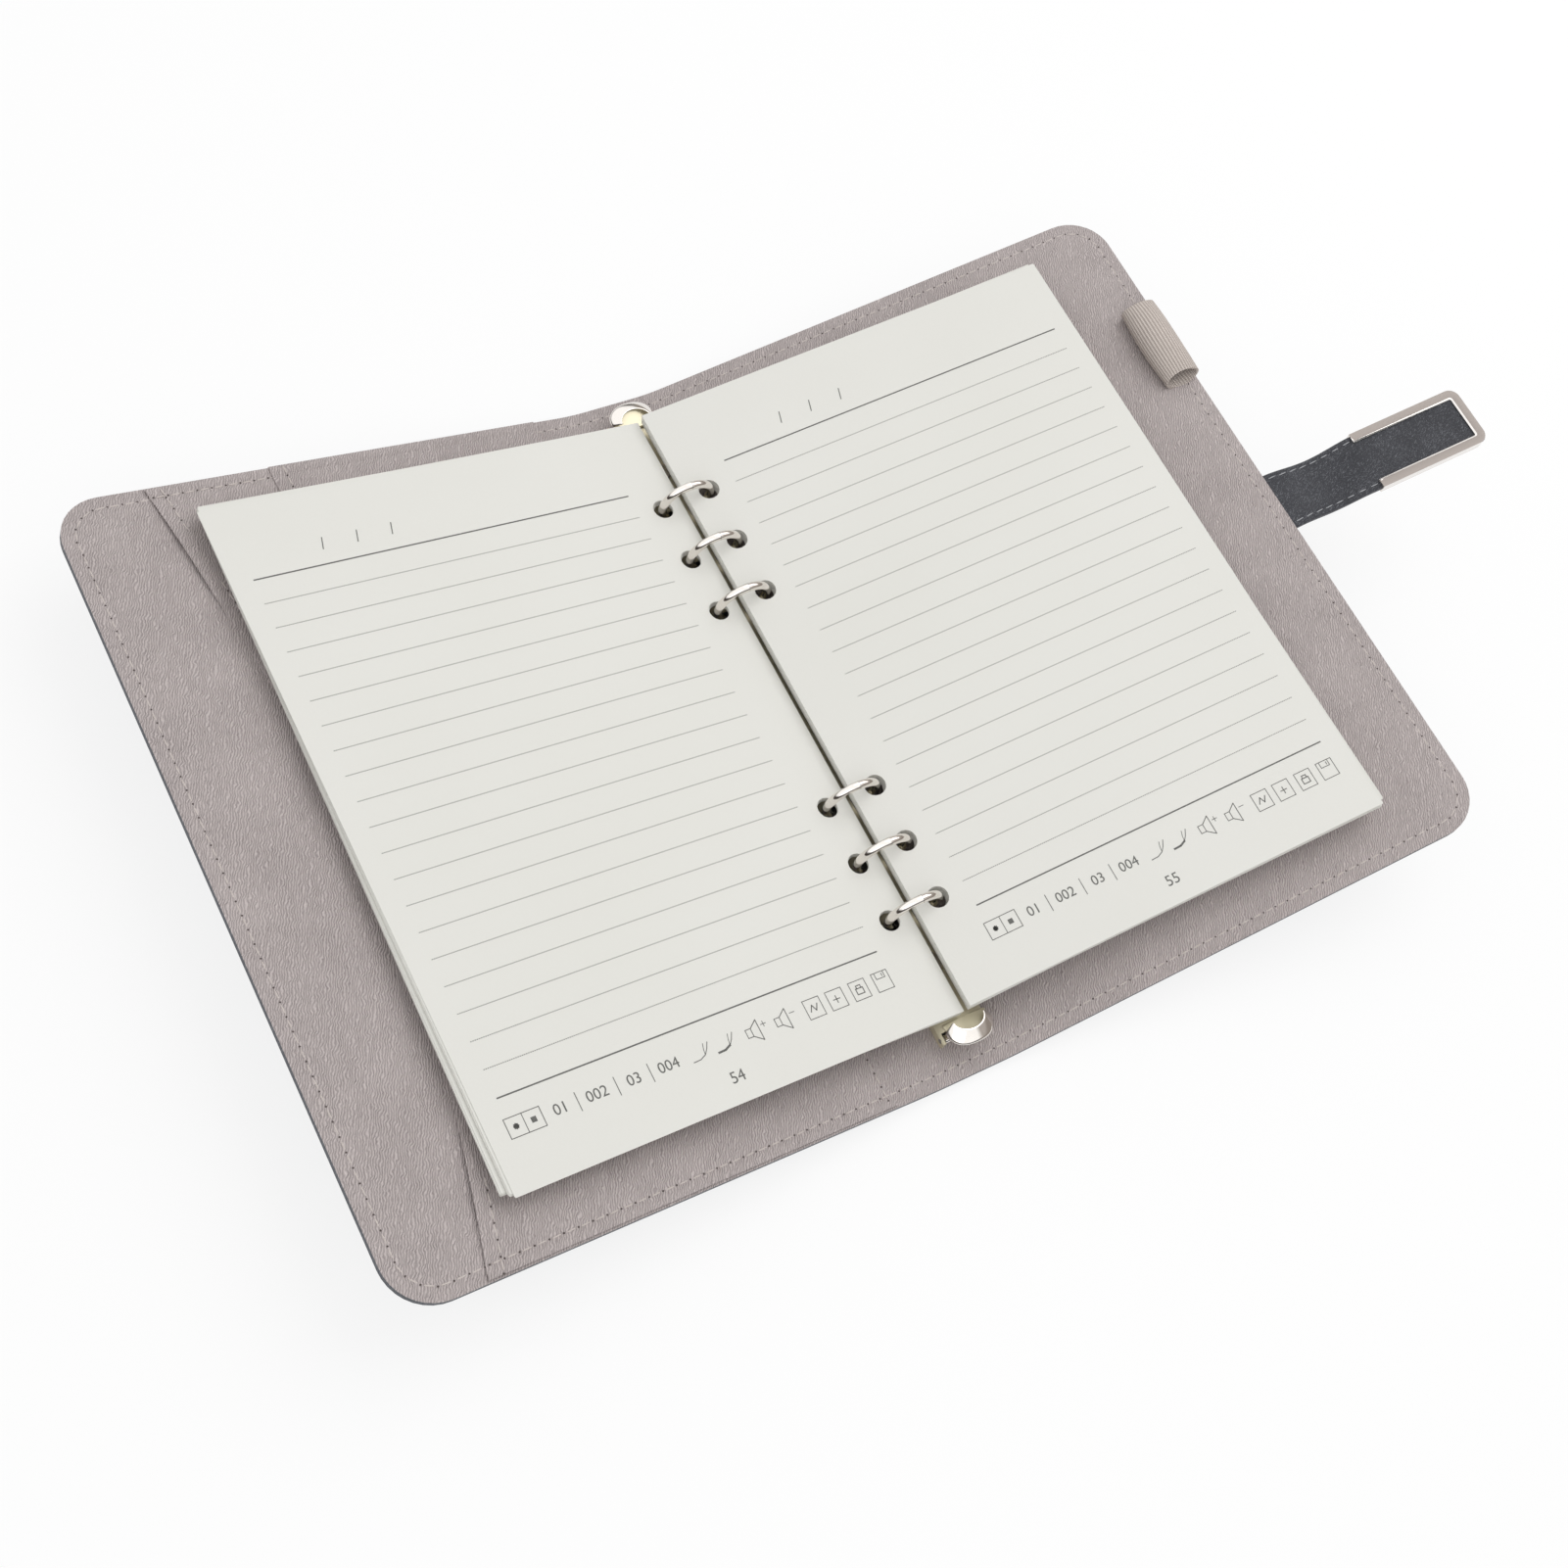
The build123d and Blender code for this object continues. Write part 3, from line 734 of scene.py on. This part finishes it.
def punched_leaf():
    """A leaf lying flat from its inner edge at x 0, its face at z 0."""
    bm = flat_sheet(0, LEAF_WIDTH, LEAF_HALF)
    round_corners(bm, [v for v in bm.verts if v.co.x > 1], 0.4, 3)
    cut(bm, 0, [HOLE_IN - HOLE_CELL, HOLE_IN + HOLE_CELL, 20, 34, 52, 72, 94, 116, 130])
    cut(bm, 1, [y + d for y in HOLES for d in (-HOLE_CELL, HOLE_CELL)])
    for y in HOLES:
        centre = Vector((HOLE_IN, y, 0))
        bmesh.ops.subdivide_edges(bm, edges=face_at(bm, centre).edges[:], cuts=5)
        cell = face_at(bm, centre)
        bmesh.ops.inset_region(bm, faces=[cell], thickness=1.0)
        for vert in cell.verts:
            vert.co = centre + (vert.co - centre).normalized() * HOLE_ROUND
        bmesh.ops.delete(bm, geom=[cell], context="FACES")
    extrude_up(bm, -LEAF_THICK)
    return to_mesh("punched_leaf", bm)


leaf_mesh = punched_leaf()
print("one leaf:", len(leaf_mesh.polygons), "faces")

# %% [markdown]
# A pile is made of these leaves, a quarter of a millimetre apart. No pile is square: the rings
# hold a leaf's inner edge, but its outer edge is pushed out a little and swings a hair. The
# holes of each leaf are moved to where the ring's arc passes at its level.

# %% Stack the piles
LEAF_PITCH = 0.25
LEAF_EDGE = 0.4


def pile(top, count=1, fan=0.0, skew=0.0, jitter=0.0, seed=0.0):
    """Leaves from the level top downwards, pushed outwards by fan and swung by skew."""
    bm = bmesh.new()
    for index in range(count):
        start = len(bm.verts)
        bm.from_mesh(leaf_mesh)
        bm.verts.ensure_lookup_table()
        slip = [noise.noise(Vector((seed + index * 1.7, k * 3.3, 0.5))) * jitter for k in range(3)]
        swing = radians(skew) + slip[2] * 0.004
        level = top - index * LEAF_PITCH
        reach = LEAF_EDGE + HOLE_IN
        to_ring = (reach**2 - level**2) ** 0.5 - reach + 0.15
        for vert in bm.verts[start:]:
            x, y, z = vert.co
            out = x / LEAF_WIDTH
            x += to_ring * (abs(x - HOLE_IN) < HOLE_CELL - 0.1)
            vert.co = Vector((LEAF_EDGE + x + out * (fan + slip[0] - swing * y),
                              y + swing * x + slip[1] * out, z + level))
    return bm


def lay_leaf(side):
    return lambda flat: on_leaves(side, *flat)


for name, side, *how in (("left_upper_leaves", -1, -2.15, 4, 0.3, 0.45, 0.5, 1.0),
                         ("left_lower_leaves", -1, -3.15, 7, 0.7, 0.95, 0.5, 7.0),
                         ("right_upper_leaves", 1, 1.2, 8, 0.0, 0.0, 0.5, 20.0),
                         ("right_lower_leaves", 1, -0.8, 8, 1.0, 0.7, 0.5, 40.0)):
    finish_piece(name + "_sheets", pile(*how), lay_leaf(side), SIDE_NAME[side] + "_pages",
                 paper, replaces=(name,))

TOP_LEAF = {-1: ("left_top_leaf", "left_pages", -1.9), 1: ("right_top_leaf", "turning_leaf", 1.5)}
for side, (name, body, top) in TOP_LEAF.items():
    finish_piece(name + "_sheet", pile(top), lay_leaf(side), body, paper, replaces=(name,))

# %% [markdown]
# The print is ink lying on the paper. Every line, frame and mark is a slab three hundredths of
# a millimetre thick, laid out once for a page as it is read and then placed on either
# side. The header and footer rules are solid and the writing lines between them are dotted.

# %% Lay out the print of a page
PAGE_LEFT = 16.5
PAGE_RIGHT = 136.0
LINE_PITCH = 8.0
HEAD_RULE = 80.1
FOOT_RULE = -80.0
INK_THICK = 0.03


def slab(bm, x, y, width, height, turn=0.0):
    bmesh.ops.create_cube(bm, size=1, matrix=sized((x, y, 0), (width, height, INK_THICK), turn))


def stroke(bm, points, width):
    """A line of ink through these points."""
    for (ax, ay), (bx, by) in zip(points, points[1:]):
        length = hypot(bx - ax, by - ay) + width * 0.6
        slab(bm, (ax + bx) / 2, (ay + by) / 2, length, width, atan2(by - ay, bx - ax))


def boxed(bm, x, y, width, height, line=0.22):
    corners = ((-1, -1), (1, -1), (1, 1), (-1, 1), (-1, -1))
    stroke(bm, [(x + i * width / 2, y + j * height / 2) for i, j in corners], line)


def across_page(bm, y, weight):
    slab(bm, (PAGE_LEFT + PAGE_RIGHT) / 2, y, PAGE_RIGHT - PAGE_LEFT, weight)


def ruled_lines():
    bm = bmesh.new()
    for index in range(1, 20):
        across_page(bm, HEAD_RULE - index * LINE_PITCH, 0.26)
    return bm


def headers():
    bm = bmesh.new()
    for y in (HEAD_RULE, FOOT_RULE):
        across_page(bm, y, 0.42)
    for x in (39.5, 50.0, 60.6):
        stroke(bm, [(x - 0.5, 85.0), (x + 0.5, 88.8)], 0.3)
    return bm


print("ruled lines in mm apart:", LINE_PITCH)

# %% [markdown]
# Numbers are text objects, turned into a mesh while they still lie flat at the origin, then
# given the thickness of ink and carried to their place with the other marks.

# %% Set a number in ink
def numeral(bm, text, x, y, size):
    curve = bpy.data.curves.new("numeral", "FONT")
    curve.body = text
    curve.size = size
    curve.align_x = curve.align_y = "CENTER"
    curve.resolution_u = 4
    sign = link("numeral", curve)
    depsgraph = bpy.context.evaluated_depsgraph_get()
    flat = bpy.data.meshes.new_from_object(sign.evaluated_get(depsgraph))
    start = len(bm.verts)
    bm.from_mesh(flat)
    bm.verts.ensure_lookup_table()
    digits = set(bm.verts[start:])
    bmesh.ops.translate(bm, vec=(x, y, -INK_THICK / 2), verts=list(digits))
    faces = [f for f in bm.faces if digits.issuperset(f.verts)]
    extrude_up(bm, INK_THICK, faces)
    bpy.data.objects.remove(sign)
    bpy.data.curves.remove(curve)
    bpy.data.meshes.remove(flat)
    print("number", text, "faces:", len(faces))


print("ink thickness in mm:", INK_THICK)

# %% [markdown]
# Along the foot runs a row of small controls for a digital pen. They are plain pictograms:
# a dot and a square in their frames, four numbered choices, two pen strokes, two
# loudspeakers, and four frames with simple marks.

# %% Draw the row of marks at the foot
MARK_Y = -88.4


def mark(bm, x, points, width):
    """A line of ink through points that are given from a place in the row."""
    stroke(bm, [(x + across, MARK_Y + up) for across, up in points], width)


def choice_marks(bm):
    boxed(bm, 20.6, MARK_Y, 10.0, 5.4)
    mark(bm, 20.6, [(0, -2.7), (0, 2.7)], 0.2)
    for turn in (0.0, pi / 4):
        slab(bm, 18.1, MARK_Y, 1.3, 1.3, turn)
    slab(bm, 23.1, MARK_Y, 1.5, 1.5)
    for x, choice in ((30.8, "01"), (41.4, "002"), (52.4, "03"), (62.9, "004")):
        numeral(bm, choice, x, MARK_Y, 4.3)
    for x in (35.8, 47.3, 57.4):
        mark(bm, x, [(0, -2.6), (0, 2.6)], 0.22)


def pen_marks(bm):
    for x, weight in ((73.2, 0.25), (81.0, 0.6)):
        mark(bm, x, [(-3.4, -1.8), (-1.2, -1.7), (0.6, -0.9)], weight)
        mark(bm, x, [(0.6, -0.9), (1.7, 0.4), (2.7, 2.2)], 0.22)
        mark(bm, x, [(0.6, -0.9), (0.8, 0.6), (1.3, 2.2)], 0.18)


def speaker_marks(bm):
    for x in (90.2, 99.6):
        boxed(bm, x - 1.9, MARK_Y, 1.7, 2.4)
        mark(bm, x, [(-1.0, -1.2), (1.4, -3.0), (1.4, 3.0), (-1.0, 1.2)], 0.26)
        mark(bm, x, [(2.3, 1.2), (3.9, 1.2)], 0.2)
    mark(bm, 93.3, [(0, 0.4), (0, 2.0)], 0.2)


def framed_marks(bm):
    for x in (109.6, 117.2, 125.1, 133.0):
        boxed(bm, x, MARK_Y, 5.3, 5.6)
    mark(bm, 109.6, [(-1.4, -0.8), (-0.4, 1.0), (0.4, -0.8), (1.4, 1.0)], 0.3)
    mark(bm, 117.2, [(-1.1, 0), (1.1, 0)], 0.26)
    mark(bm, 117.2, [(0, -1.1), (0, 1.1)], 0.26)
    boxed(bm, 125.1, MARK_Y - 0.3, 2.3, 1.7, 0.3)
    mark(bm, 125.1, [(-0.7, 0.6), (-0.7, 1.4), (0.7, 1.4), (0.7, 0.6)], 0.28)
    mark(bm, 133.0, [(-1.5, 2.6), (-1.5, 0.9), (1.4, 0.9), (1.4, 2.6)], 0.22)
    mark(bm, 133.7, [(0, 1.4), (0, 2.2)], 0.24)


print("marks stand", -MARK_Y, "mm below the middle of the page")

# %% [markdown]
# The left page is read towards the rings and the right page away from them, so the same layout
# is mirrored in distance from the rings but not in reading order.

# %% Print both pages
LEFT_PAGE_SUM = 152.4


def lay_print(side, level):
    def lay(flat):
        across = flat.x if side > 0 else LEFT_PAGE_SUM - flat.x
        return on_leaves(side, across, flat.y, level + flat.z)
    return lay


for side, number, number_x in ((-1, "54", 79.4), (1, "55", 72.2)):
    name, body, top = TOP_LEAF[side]
    level = top + INK_THICK / 2 + 0.005
    finish_piece(name + "_rules", ruled_lines(), lay_print(side, level), body, rule)
    marks = headers()
    for draw in (choice_marks, pen_marks, speaker_marks, framed_marks):
        draw(marks)
    numeral(marks, number, number_x, -98.0, 4.6)
    finish_piece(name + "_marks", marks, lay_print(side, level), body, ink)

# %% [markdown]
# The pen loop is a band of ribbed elastic folded back on itself and caught in the fore-edge
# seam, so it is a flattened tube, open at the foot and pinched where it is sewn. A
# circle is extruded along in steps and shaped into a teardrop section, lower towards both
# ends. Two attributes remember the way round and along for the weave.

# %% Shape the pen loop
LOOP_OUT = 164.9
LOOP_WIDE = 10.4
LOOP_HIGH = 7.5
LOOP_START = 49.0
LOOP_LONG = 30.0
LOOP_STEPS = 16
ELASTIC = 0.9


def loop_section(angle, part):
    """Distance in from the fore-edge and height over the lining, round the loop."""
    squeeze = 1 - 0.35 * max(0, (part - 0.6) / 0.4) ** 1.8 - 0.38 * max(0, 1 - part / 0.5) ** 1.7
    wide = LOOP_WIDE + 1.0 * sin(pi * min(1, part * 0.9 + 0.1))
    inwards = (1 - cos(angle)) / 2
    belly = sin(angle) * min(1, 0.75 + inwards * 0.6)
    height = LOOP_HIGH * squeeze * (0.5 + 0.5 * belly)
    return inwards * wide, height


bm = bmesh.new()
bmesh.ops.create_circle(bm, segments=36, radius=1)
ring = bm.edges[:]
for step in range(LOOP_STEPS):
    grown = bmesh.ops.extrude_edge_only(bm, edges=ring)["geom"]
    ring = [item for item in grown if isinstance(item, bmesh.types.BMEdge)]
    bmesh.ops.translate(bm, vec=(0, 0, 1), verts=points_of(grown))
round_loop = bm.verts.layers.float.new("round_loop")
along_loop = bm.verts.layers.float.new("along_loop")
for vert in bm.verts:
    angle = atan2(vert.co.y, vert.co.x)
    part = vert.co.z / LOOP_STEPS
    inwards, height = loop_section(angle, part)
    vert[round_loop] = abs(angle) / pi
    vert[along_loop] = part * LOOP_LONG
    bow = 0.5 * sin(pi * part)
    lip = 1.3 * sin(angle) * (1 - part) ** 3
    along = LOOP_START + ELASTIC + lip + part * (LOOP_LONG - ELASTIC)
    vert.co = Vector((FOLD_X + LOOP_OUT - inwards - bow, along, MID_HEIGHT + height))
bmesh.ops.recalc_face_normals(bm, faces=bm.faces)
bmesh.ops.solidify(bm, geom=bm.faces[:], thickness=ELASTIC)
finish_piece("elastic_pen_loop", bm, fold, "back_cover", elastic, sharp=60,
             replaces=("pen_loop",))

# %% [markdown]
# The strap leaves the back cover between its skins. Its neck is two layers sewn together along
# both sides, gently waisted, and it sags a little before the metal tip. The neck is cut in two
# pieces at its middle.

# %% Shape the strap's neck
STRAP_Y = -1.5
STRAP_FROM = FOLD_X + COVER - 6.5
STRAP_HINGE = FOLD_X + COVER + 1.5
NECK_LONG = 30.8
TIP_HINGE = STRAP_HINGE + NECK_LONG
TIP_FROM = TIP_HINGE + 1.2
NECK_MIDDLE = STRAP_HINGE + NECK_LONG / 2
STRAP_LOW, STRAP_MID, STRAP_TOP = -0.8, 0.1, 1.0


def strap_half_width(x):
    return 10.2 - 0.45 * sin(pi * share(x - STRAP_HINGE, NECK_LONG))


def strap_sag(x):
    return -2.1 * sin(pi * share(x - STRAP_HINGE, TIP_FROM - STRAP_HINGE)) ** 2


def strap_layer(start, end, low, high, roll):
    """A strip of the strap between two heights, with rounded long edges."""
    bm = flat_sheet(start, end, 1)
    cut(bm, 0, steps(start, end, 16)[1:-1])
    cut(bm, 1, mirrored((0.965, 0.9, 0.82, 0.7)))
    upper = set(extrude_up(bm, 0))
    for vert in bm.verts:
        side = abs(vert.co.y)
        dip = roll * (1 if side > 0.99 else 0.35 if side > 0.95 else 0) + 0.14 * (0.8 < side < 0.85)
        height = high - dip if vert in upper else low
        across = vert.co.y * strap_half_width(vert.co.x)
        vert.co = Vector((vert.co.x, STRAP_Y + across, height + strap_sag(vert.co.x)))
    return bm


def with_strap():
    """Bakes a piece's place into its mesh; the piece is held to no body."""
    return lambda piece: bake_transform(piece)


def strap_rows(start, end):
    return [[Vector((x, STRAP_Y + sign * (strap_half_width(x) - 1.7)))
             for x in steps(start, end, 10)] for sign in (-1, 1)]


def suede_height(x, y):
    return STRAP_TOP + strap_sag(x)


for name, start, end, sewn_from, sewn_to, under, over in (
        ("near_neck", STRAP_FROM, NECK_MIDDLE, FOLD_X + COVER + 0.6, NECK_MIDDLE,
         ("strap_tail", "neck_leather"), ("neck_lining",)),
        ("far_neck", NECK_MIDDLE, TIP_FROM + 0.4, NECK_MIDDLE, TIP_FROM, (), ())):
    hold = with_strap()
    finish_piece(name + "_leather", strap_layer(start, end, STRAP_LOW, STRAP_MID, 0.0), fold,
                 hold, outer, replaces=under)
    finish_piece(name + "_suede", strap_layer(start, end, STRAP_MID, STRAP_TOP, 0.3), fold,
                 hold, suede, replaces=over)
    beads, holes = sew(strap_rows(sewn_from, sewn_to), suede_height, 0.02, (1.55, 0.17, 0.15))
    finish_piece(name + "_thread", beads, fold, hold, strap_thread)
    holes.free()

# %% [markdown]
# The metal tip is a tray: closed outside, with a band turned in over three sides and open
# towards the neck. A long rectangle is rounded at its far end, extruded into a box, its top is
# inset to open the window, with a sloping lip round it, the near end is cut off and the two
# band ends are rounded. The sheet gets its thickness inwards, and a small bevel gives every edge
# a line of light. The lip and the upright faces take the polished finish, whose pale colour is
# a painted highlight.

# %% Press the metal tip
TIP_LONG = 41.5
TIP_HALF = 10.65
TIP_BAND = 3.2
TIP_LIP = 0.5
TIP_LOW = -1.6
TIP_HIGH = 1.8
TIP_CORNER = 3.6
TIP_SHEET = 0.7

bm = flat_sheet(TIP_FROM - 8, TIP_FROM + TIP_LONG, TIP_HALF, STRAP_Y, TIP_LOW)
round_corners(bm, [v for v in bm.verts if v.co.x > TIP_FROM], TIP_CORNER, 8)
extrude_up(bm, TIP_HIGH - TIP_LOW)
lid = max(bm.faces, key=lambda face: face.calc_center_median().z)
bmesh.ops.inset_region(bm, faces=[lid], thickness=TIP_BAND - TIP_LIP, use_even_offset=True)
lip = bmesh.ops.inset_region(bm, faces=[lid], thickness=TIP_LIP, use_even_offset=True)["faces"]
bmesh.ops.translate(bm, vec=(0, 0, -0.35), verts=lid.verts[:])
for face in lip:
    face.material_index = 1
bmesh.ops.delete(bm, geom=[lid], context="FACES")
split(bm, (TIP_FROM, 0, 0), (1, 0, 0), drop_inner=True)
band_ends = [v for v in bm.verts
             if v.co.x < TIP_FROM + 0.1 and v.co.z > 1 and abs(v.co.y - STRAP_Y) < 9]
round_corners(bm, band_ends, 1.6, 5)
bmesh.ops.recalc_face_normals(bm, faces=bm.faces)
bmesh.ops.solidify(bm, geom=bm.faces[:], thickness=TIP_SHEET)
bmesh.ops.recalc_face_normals(bm, faces=bm.faces)
# The upright faces and the lip take the pale finish: polish plus a painted highlight.
for face in bm.faces:
    face.material_index = max(face.material_index, int(abs(face.normal.z) < 0.4))
tip = finish_piece("pressed_tip_frame", bm, fold, "strap_tip", satin, sharp=50,
                   replaces=("tip_frame",))
tip.data.materials.append(polished_edge_painted_highlight.material)
edges = tip.modifiers.new("edge_bevel", "BEVEL")
edges.width = 0.22 * MM
edges.segments = 2
edges.limit_method = "ANGLE"
edges.angle_limit = radians(50)

# %% [markdown]
# A sheet of suede lies in the tip's window, level with the neck's. It is a plain slab under the
# band, so a grid that is extruded once is enough.

# %% Lay the suede in the tip
bm = flat_sheet(TIP_FROM, TIP_FROM + TIP_LONG - 0.9, TIP_HALF - 0.85, STRAP_Y, STRAP_MID, 12, 6)
extrude_up(bm, STRAP_TOP - STRAP_MID)
finish_piece("tip_suede", bm, fold, "strap_tip", suede, replaces=("tip_lining",))

# %% [markdown]
# At each end of the rings a thumb tab stands on a stem that turns on the pin. The tab is a
# polished crescent, domed both ways: a flat grid is mapped between an inner and an outer arch,
# given its thickness by an extrusion, and smoothed by subdivision. Inside the crescent is the
# lever's lower root, a small duller dome made in the same way. The stem, the wall under
# the tab, the knuckle round the pin and the finger under the carriers are simple solids.

# %% Shape the thumb tabs
PIN_Y = 108.6
PIN_Z = 5.6
TAB_HALF = 7.7
TAB_TOP = 13.9


def arch(turn, half, rise, power):
    """A point of a squarish half ellipse: turn runs from 0 at one foot to pi at the other."""
    wide = abs(cos(turn)) ** (2 / power) * way(cos(turn))
    return Vector((half * wide, rise * max(0, sin(turn)) ** (2 / power)))


def domed(across, along, thick, shape):
    """A sheet whose points go round by turn (0 to pi) and outwards by v (0 to 1)."""
    bm = flat_sheet(-1, 1, 1, across=across, along=along)
    for vert in bm.verts:
        x, y, z = shape((1 - vert.co.x) * pi / 2, (vert.co.y + 1) / 2)
        vert.co = Vector((RING_X + x, y, z))
    bmesh.ops.remove_doubles(bm, verts=bm.verts, dist=0.0001)
    extrude_up(bm, -thick)
    return bm


def crescent(turn, v):
    """The thumb tab, between an inner and an outer arch."""
    inner = arch(turn, 4.9, 3.8, 2.0) + Vector((0, 106.4))
    x, y = inner.lerp(arch(turn, TAB_HALF, 6.2, 2.4) + Vector((0, 108.0)), v)
    return x, y, TAB_TOP - 1.1 * (x / TAB_HALF) ** 2 - 0.15 * (2 * v - 1) ** 2 - 1.9 * v


def root_dome(turn, v):
    """The lower dome within the crescent."""
    x, y = arch(turn, 7.4, 6.3, 2.2) * v
    return x, 105.4 + y, 10.6 + 2.1 * (y / 6.3) ** 1.5 - 0.6 * (x / 7.4) ** 2


def block(bm, centre, size, soft=0.25):
    made = bmesh.ops.create_cube(bm, size=1, matrix=sized(centre, size))["verts"]
    edges = list({edge for vert in made for edge in vert.link_edges})
    bmesh.ops.bevel(bm, geom=edges, affect="EDGES", offset=soft, segments=2, profile=0.5,
                    material=-1)


def lever_stem():
    bm = bmesh.new()
    block(bm, (RING_X, PIN_Y, 7.6), (8.0, 1.5, 4.2))
    block(bm, (RING_X, 111.7, 10.8), (7.0, 1.0, 2.8))
    block(bm, (RING_X, PIN_Y - 1.3, 4.3), (3.6, 2.6, 0.7), 0.15)
    round_pin = Matrix.Translation((RING_X, PIN_Y, PIN_Z)) @ Matrix.Rotation(pi / 2, 4, "Y")
    bmesh.ops.create_cone(bm, cap_ends=True, segments=24, radius1=1.5, radius2=1.5, depth=13.6,
                          matrix=round_pin)
    return bm


for end, name in ((-1, "bottom"), (1, "top")):
    for kind, bm, finish in (("tab", domed(20, 4, 0.8, crescent), nickel),
                             ("stem", lever_stem(), nickel),
                             ("root", domed(16, 6, 0.9, root_dome), channel)):
        bmesh.ops.scale(bm, vec=(1, end, 1), verts=bm.verts)
        hidden = (name + "_lever",) if kind == "tab" else ()
        piece = finish_piece(f"{name}_lever_{kind}", bm, lambda flat: flat * MM, name + "_lever",
                             finish, sharp=60, replaces=hidden)
        if kind != "stem":
            smooth = piece.modifiers.new("smooth", "SUBSURF")
            smooth.levels = smooth.render_levels = 2

# %% [markdown]
# The camera stands where the photograph was taken from. Its place and turn were found from the
# corners of the leaves and covers and the six ring holes, and its focal length from how
# fast they shrink with distance.

# %% Set the camera
SENSOR = 36.0
PHOTO_PIXELS = 1601
FOCAL_PIXELS = 2060.6
CAMERA_PLACE = Vector((-242.4, -196.7, 522.7)) * MM

camera_data = bpy.data.cameras.new("camera")
camera_data.sensor_width = SENSOR
camera_data.lens = SENSOR * FOCAL_PIXELS / PHOTO_PIXELS
camera_data.clip_start = 0.01
camera = link("camera", camera_data)
right = Vector((0.85933, -0.45724, 0.22911))
up = Vector((0.33034, 0.83823, 0.43387))
back = right.cross(up).normalized()
turn = Matrix((right, up, back)).transposed().to_4x4()
camera.matrix_world = Matrix.Translation(CAMERA_PLACE) @ turn
bpy.context.scene.camera = camera
print("lens in mm:", round(camera_data.lens, 2))

# %% [markdown]
# The table is a wide pale sheet. To the camera it is mostly plain white, but part of it stays
# a lit surface, so that the notebook's soft shadow still falls on it. Reflections see the same
# white, which makes the nickel bright.

# %% Lay the table
TABLE_GLOW = 0.8

table = link("table", to_mesh("table", flat_sheet(-3, 3, 3, across=2, along=2)))
white = Finish("table_white", (0.95, 0.95, 0.95), Roughness=0.9)
plain = white.ray("Camera") * TABLE_GLOW + white.ray("Glossy") * 0.9
glow = white.node("Emission", {}, {"Color": (1, 1, 1, 1), "Strength": 1.0})
lit = Value(white, white.shader.outputs[0])
mixed = white.node("MixShader", {}, {0: plain, 1: lit, 2: glow})
white.wire(white.tree.nodes["Material Output"], {"Surface": mixed})
table.data.materials.append(white.material)
print("table white to the camera:", TABLE_GLOW)

# %% [markdown]
# Soft studio light: an even pale surround, a large lamp high on the right, which lays the short
# shadows, and a weaker one from the other side. Polished metal needs something to reflect, so
# for mirror rays alone the surround is a studio: white overhead, lower down in the north, dark
# towards the horizon, and greyer in the east. A ray's direction picks the shade.

# %% Light the notebook
CEILING = 0.34
EAST_SCREEN = 0.42
SOFT_EDGE = 7

world = bpy.data.worlds.new("studio")
bpy.context.scene.world = world
world.use_nodes = True


class Surround(Finish):
    """The nodes of the world, written in the same way as those of a finish."""

    def __init__(self, world):
        self.tree = world.node_tree
        self.shader = self.tree.nodes["Background"]


sky = Surround(world)
heading = sky.node("TexCoord", {}, {}, out="Generated")
east, north, height = (sky.axis(heading, letter) for letter in "XYZ")
overhead = ((height + north.math("MAXIMUM", 0.0) * 0.3 - CEILING) * SOFT_EDGE).clamp()
greyer = ((east - EAST_SCREEN) * SOFT_EDGE).clamp()
panels = sky.blend(overhead, (0.07, 0.06, 0.055), (1.25, 1.25, 1.25))
panels = sky.blend(greyer * 0.85, panels, (0.36, 0.32, 0.29))
seen = sky.blend(sky.ray("Camera"), (0.67, 0.67, 0.67), (1.0, 1.0, 1.0))
sky.vary(Color=sky.blend(sky.ray("Glossy"), seen, panels), Strength=1.0)


def lamp(name, place, size, watts):
    data = bpy.data.lights.new(name, "AREA")
    data.shape = "SQUARE"
    data.size = size
    data.energy = watts
    aim = (-Vector(place)).to_track_quat("-Z", "Y").to_matrix().to_4x4()
    link(name, data).matrix_world = Matrix.Translation(place) @ aim


lamp("key_lamp", (0.8, 0.25, 1.25), size=1.3, watts=8.4)
lamp("fill_lamp", (-0.8, -0.7, 1.2), size=1.2, watts=3.3)
bpy.context.scene.view_settings.view_transform = "Standard"
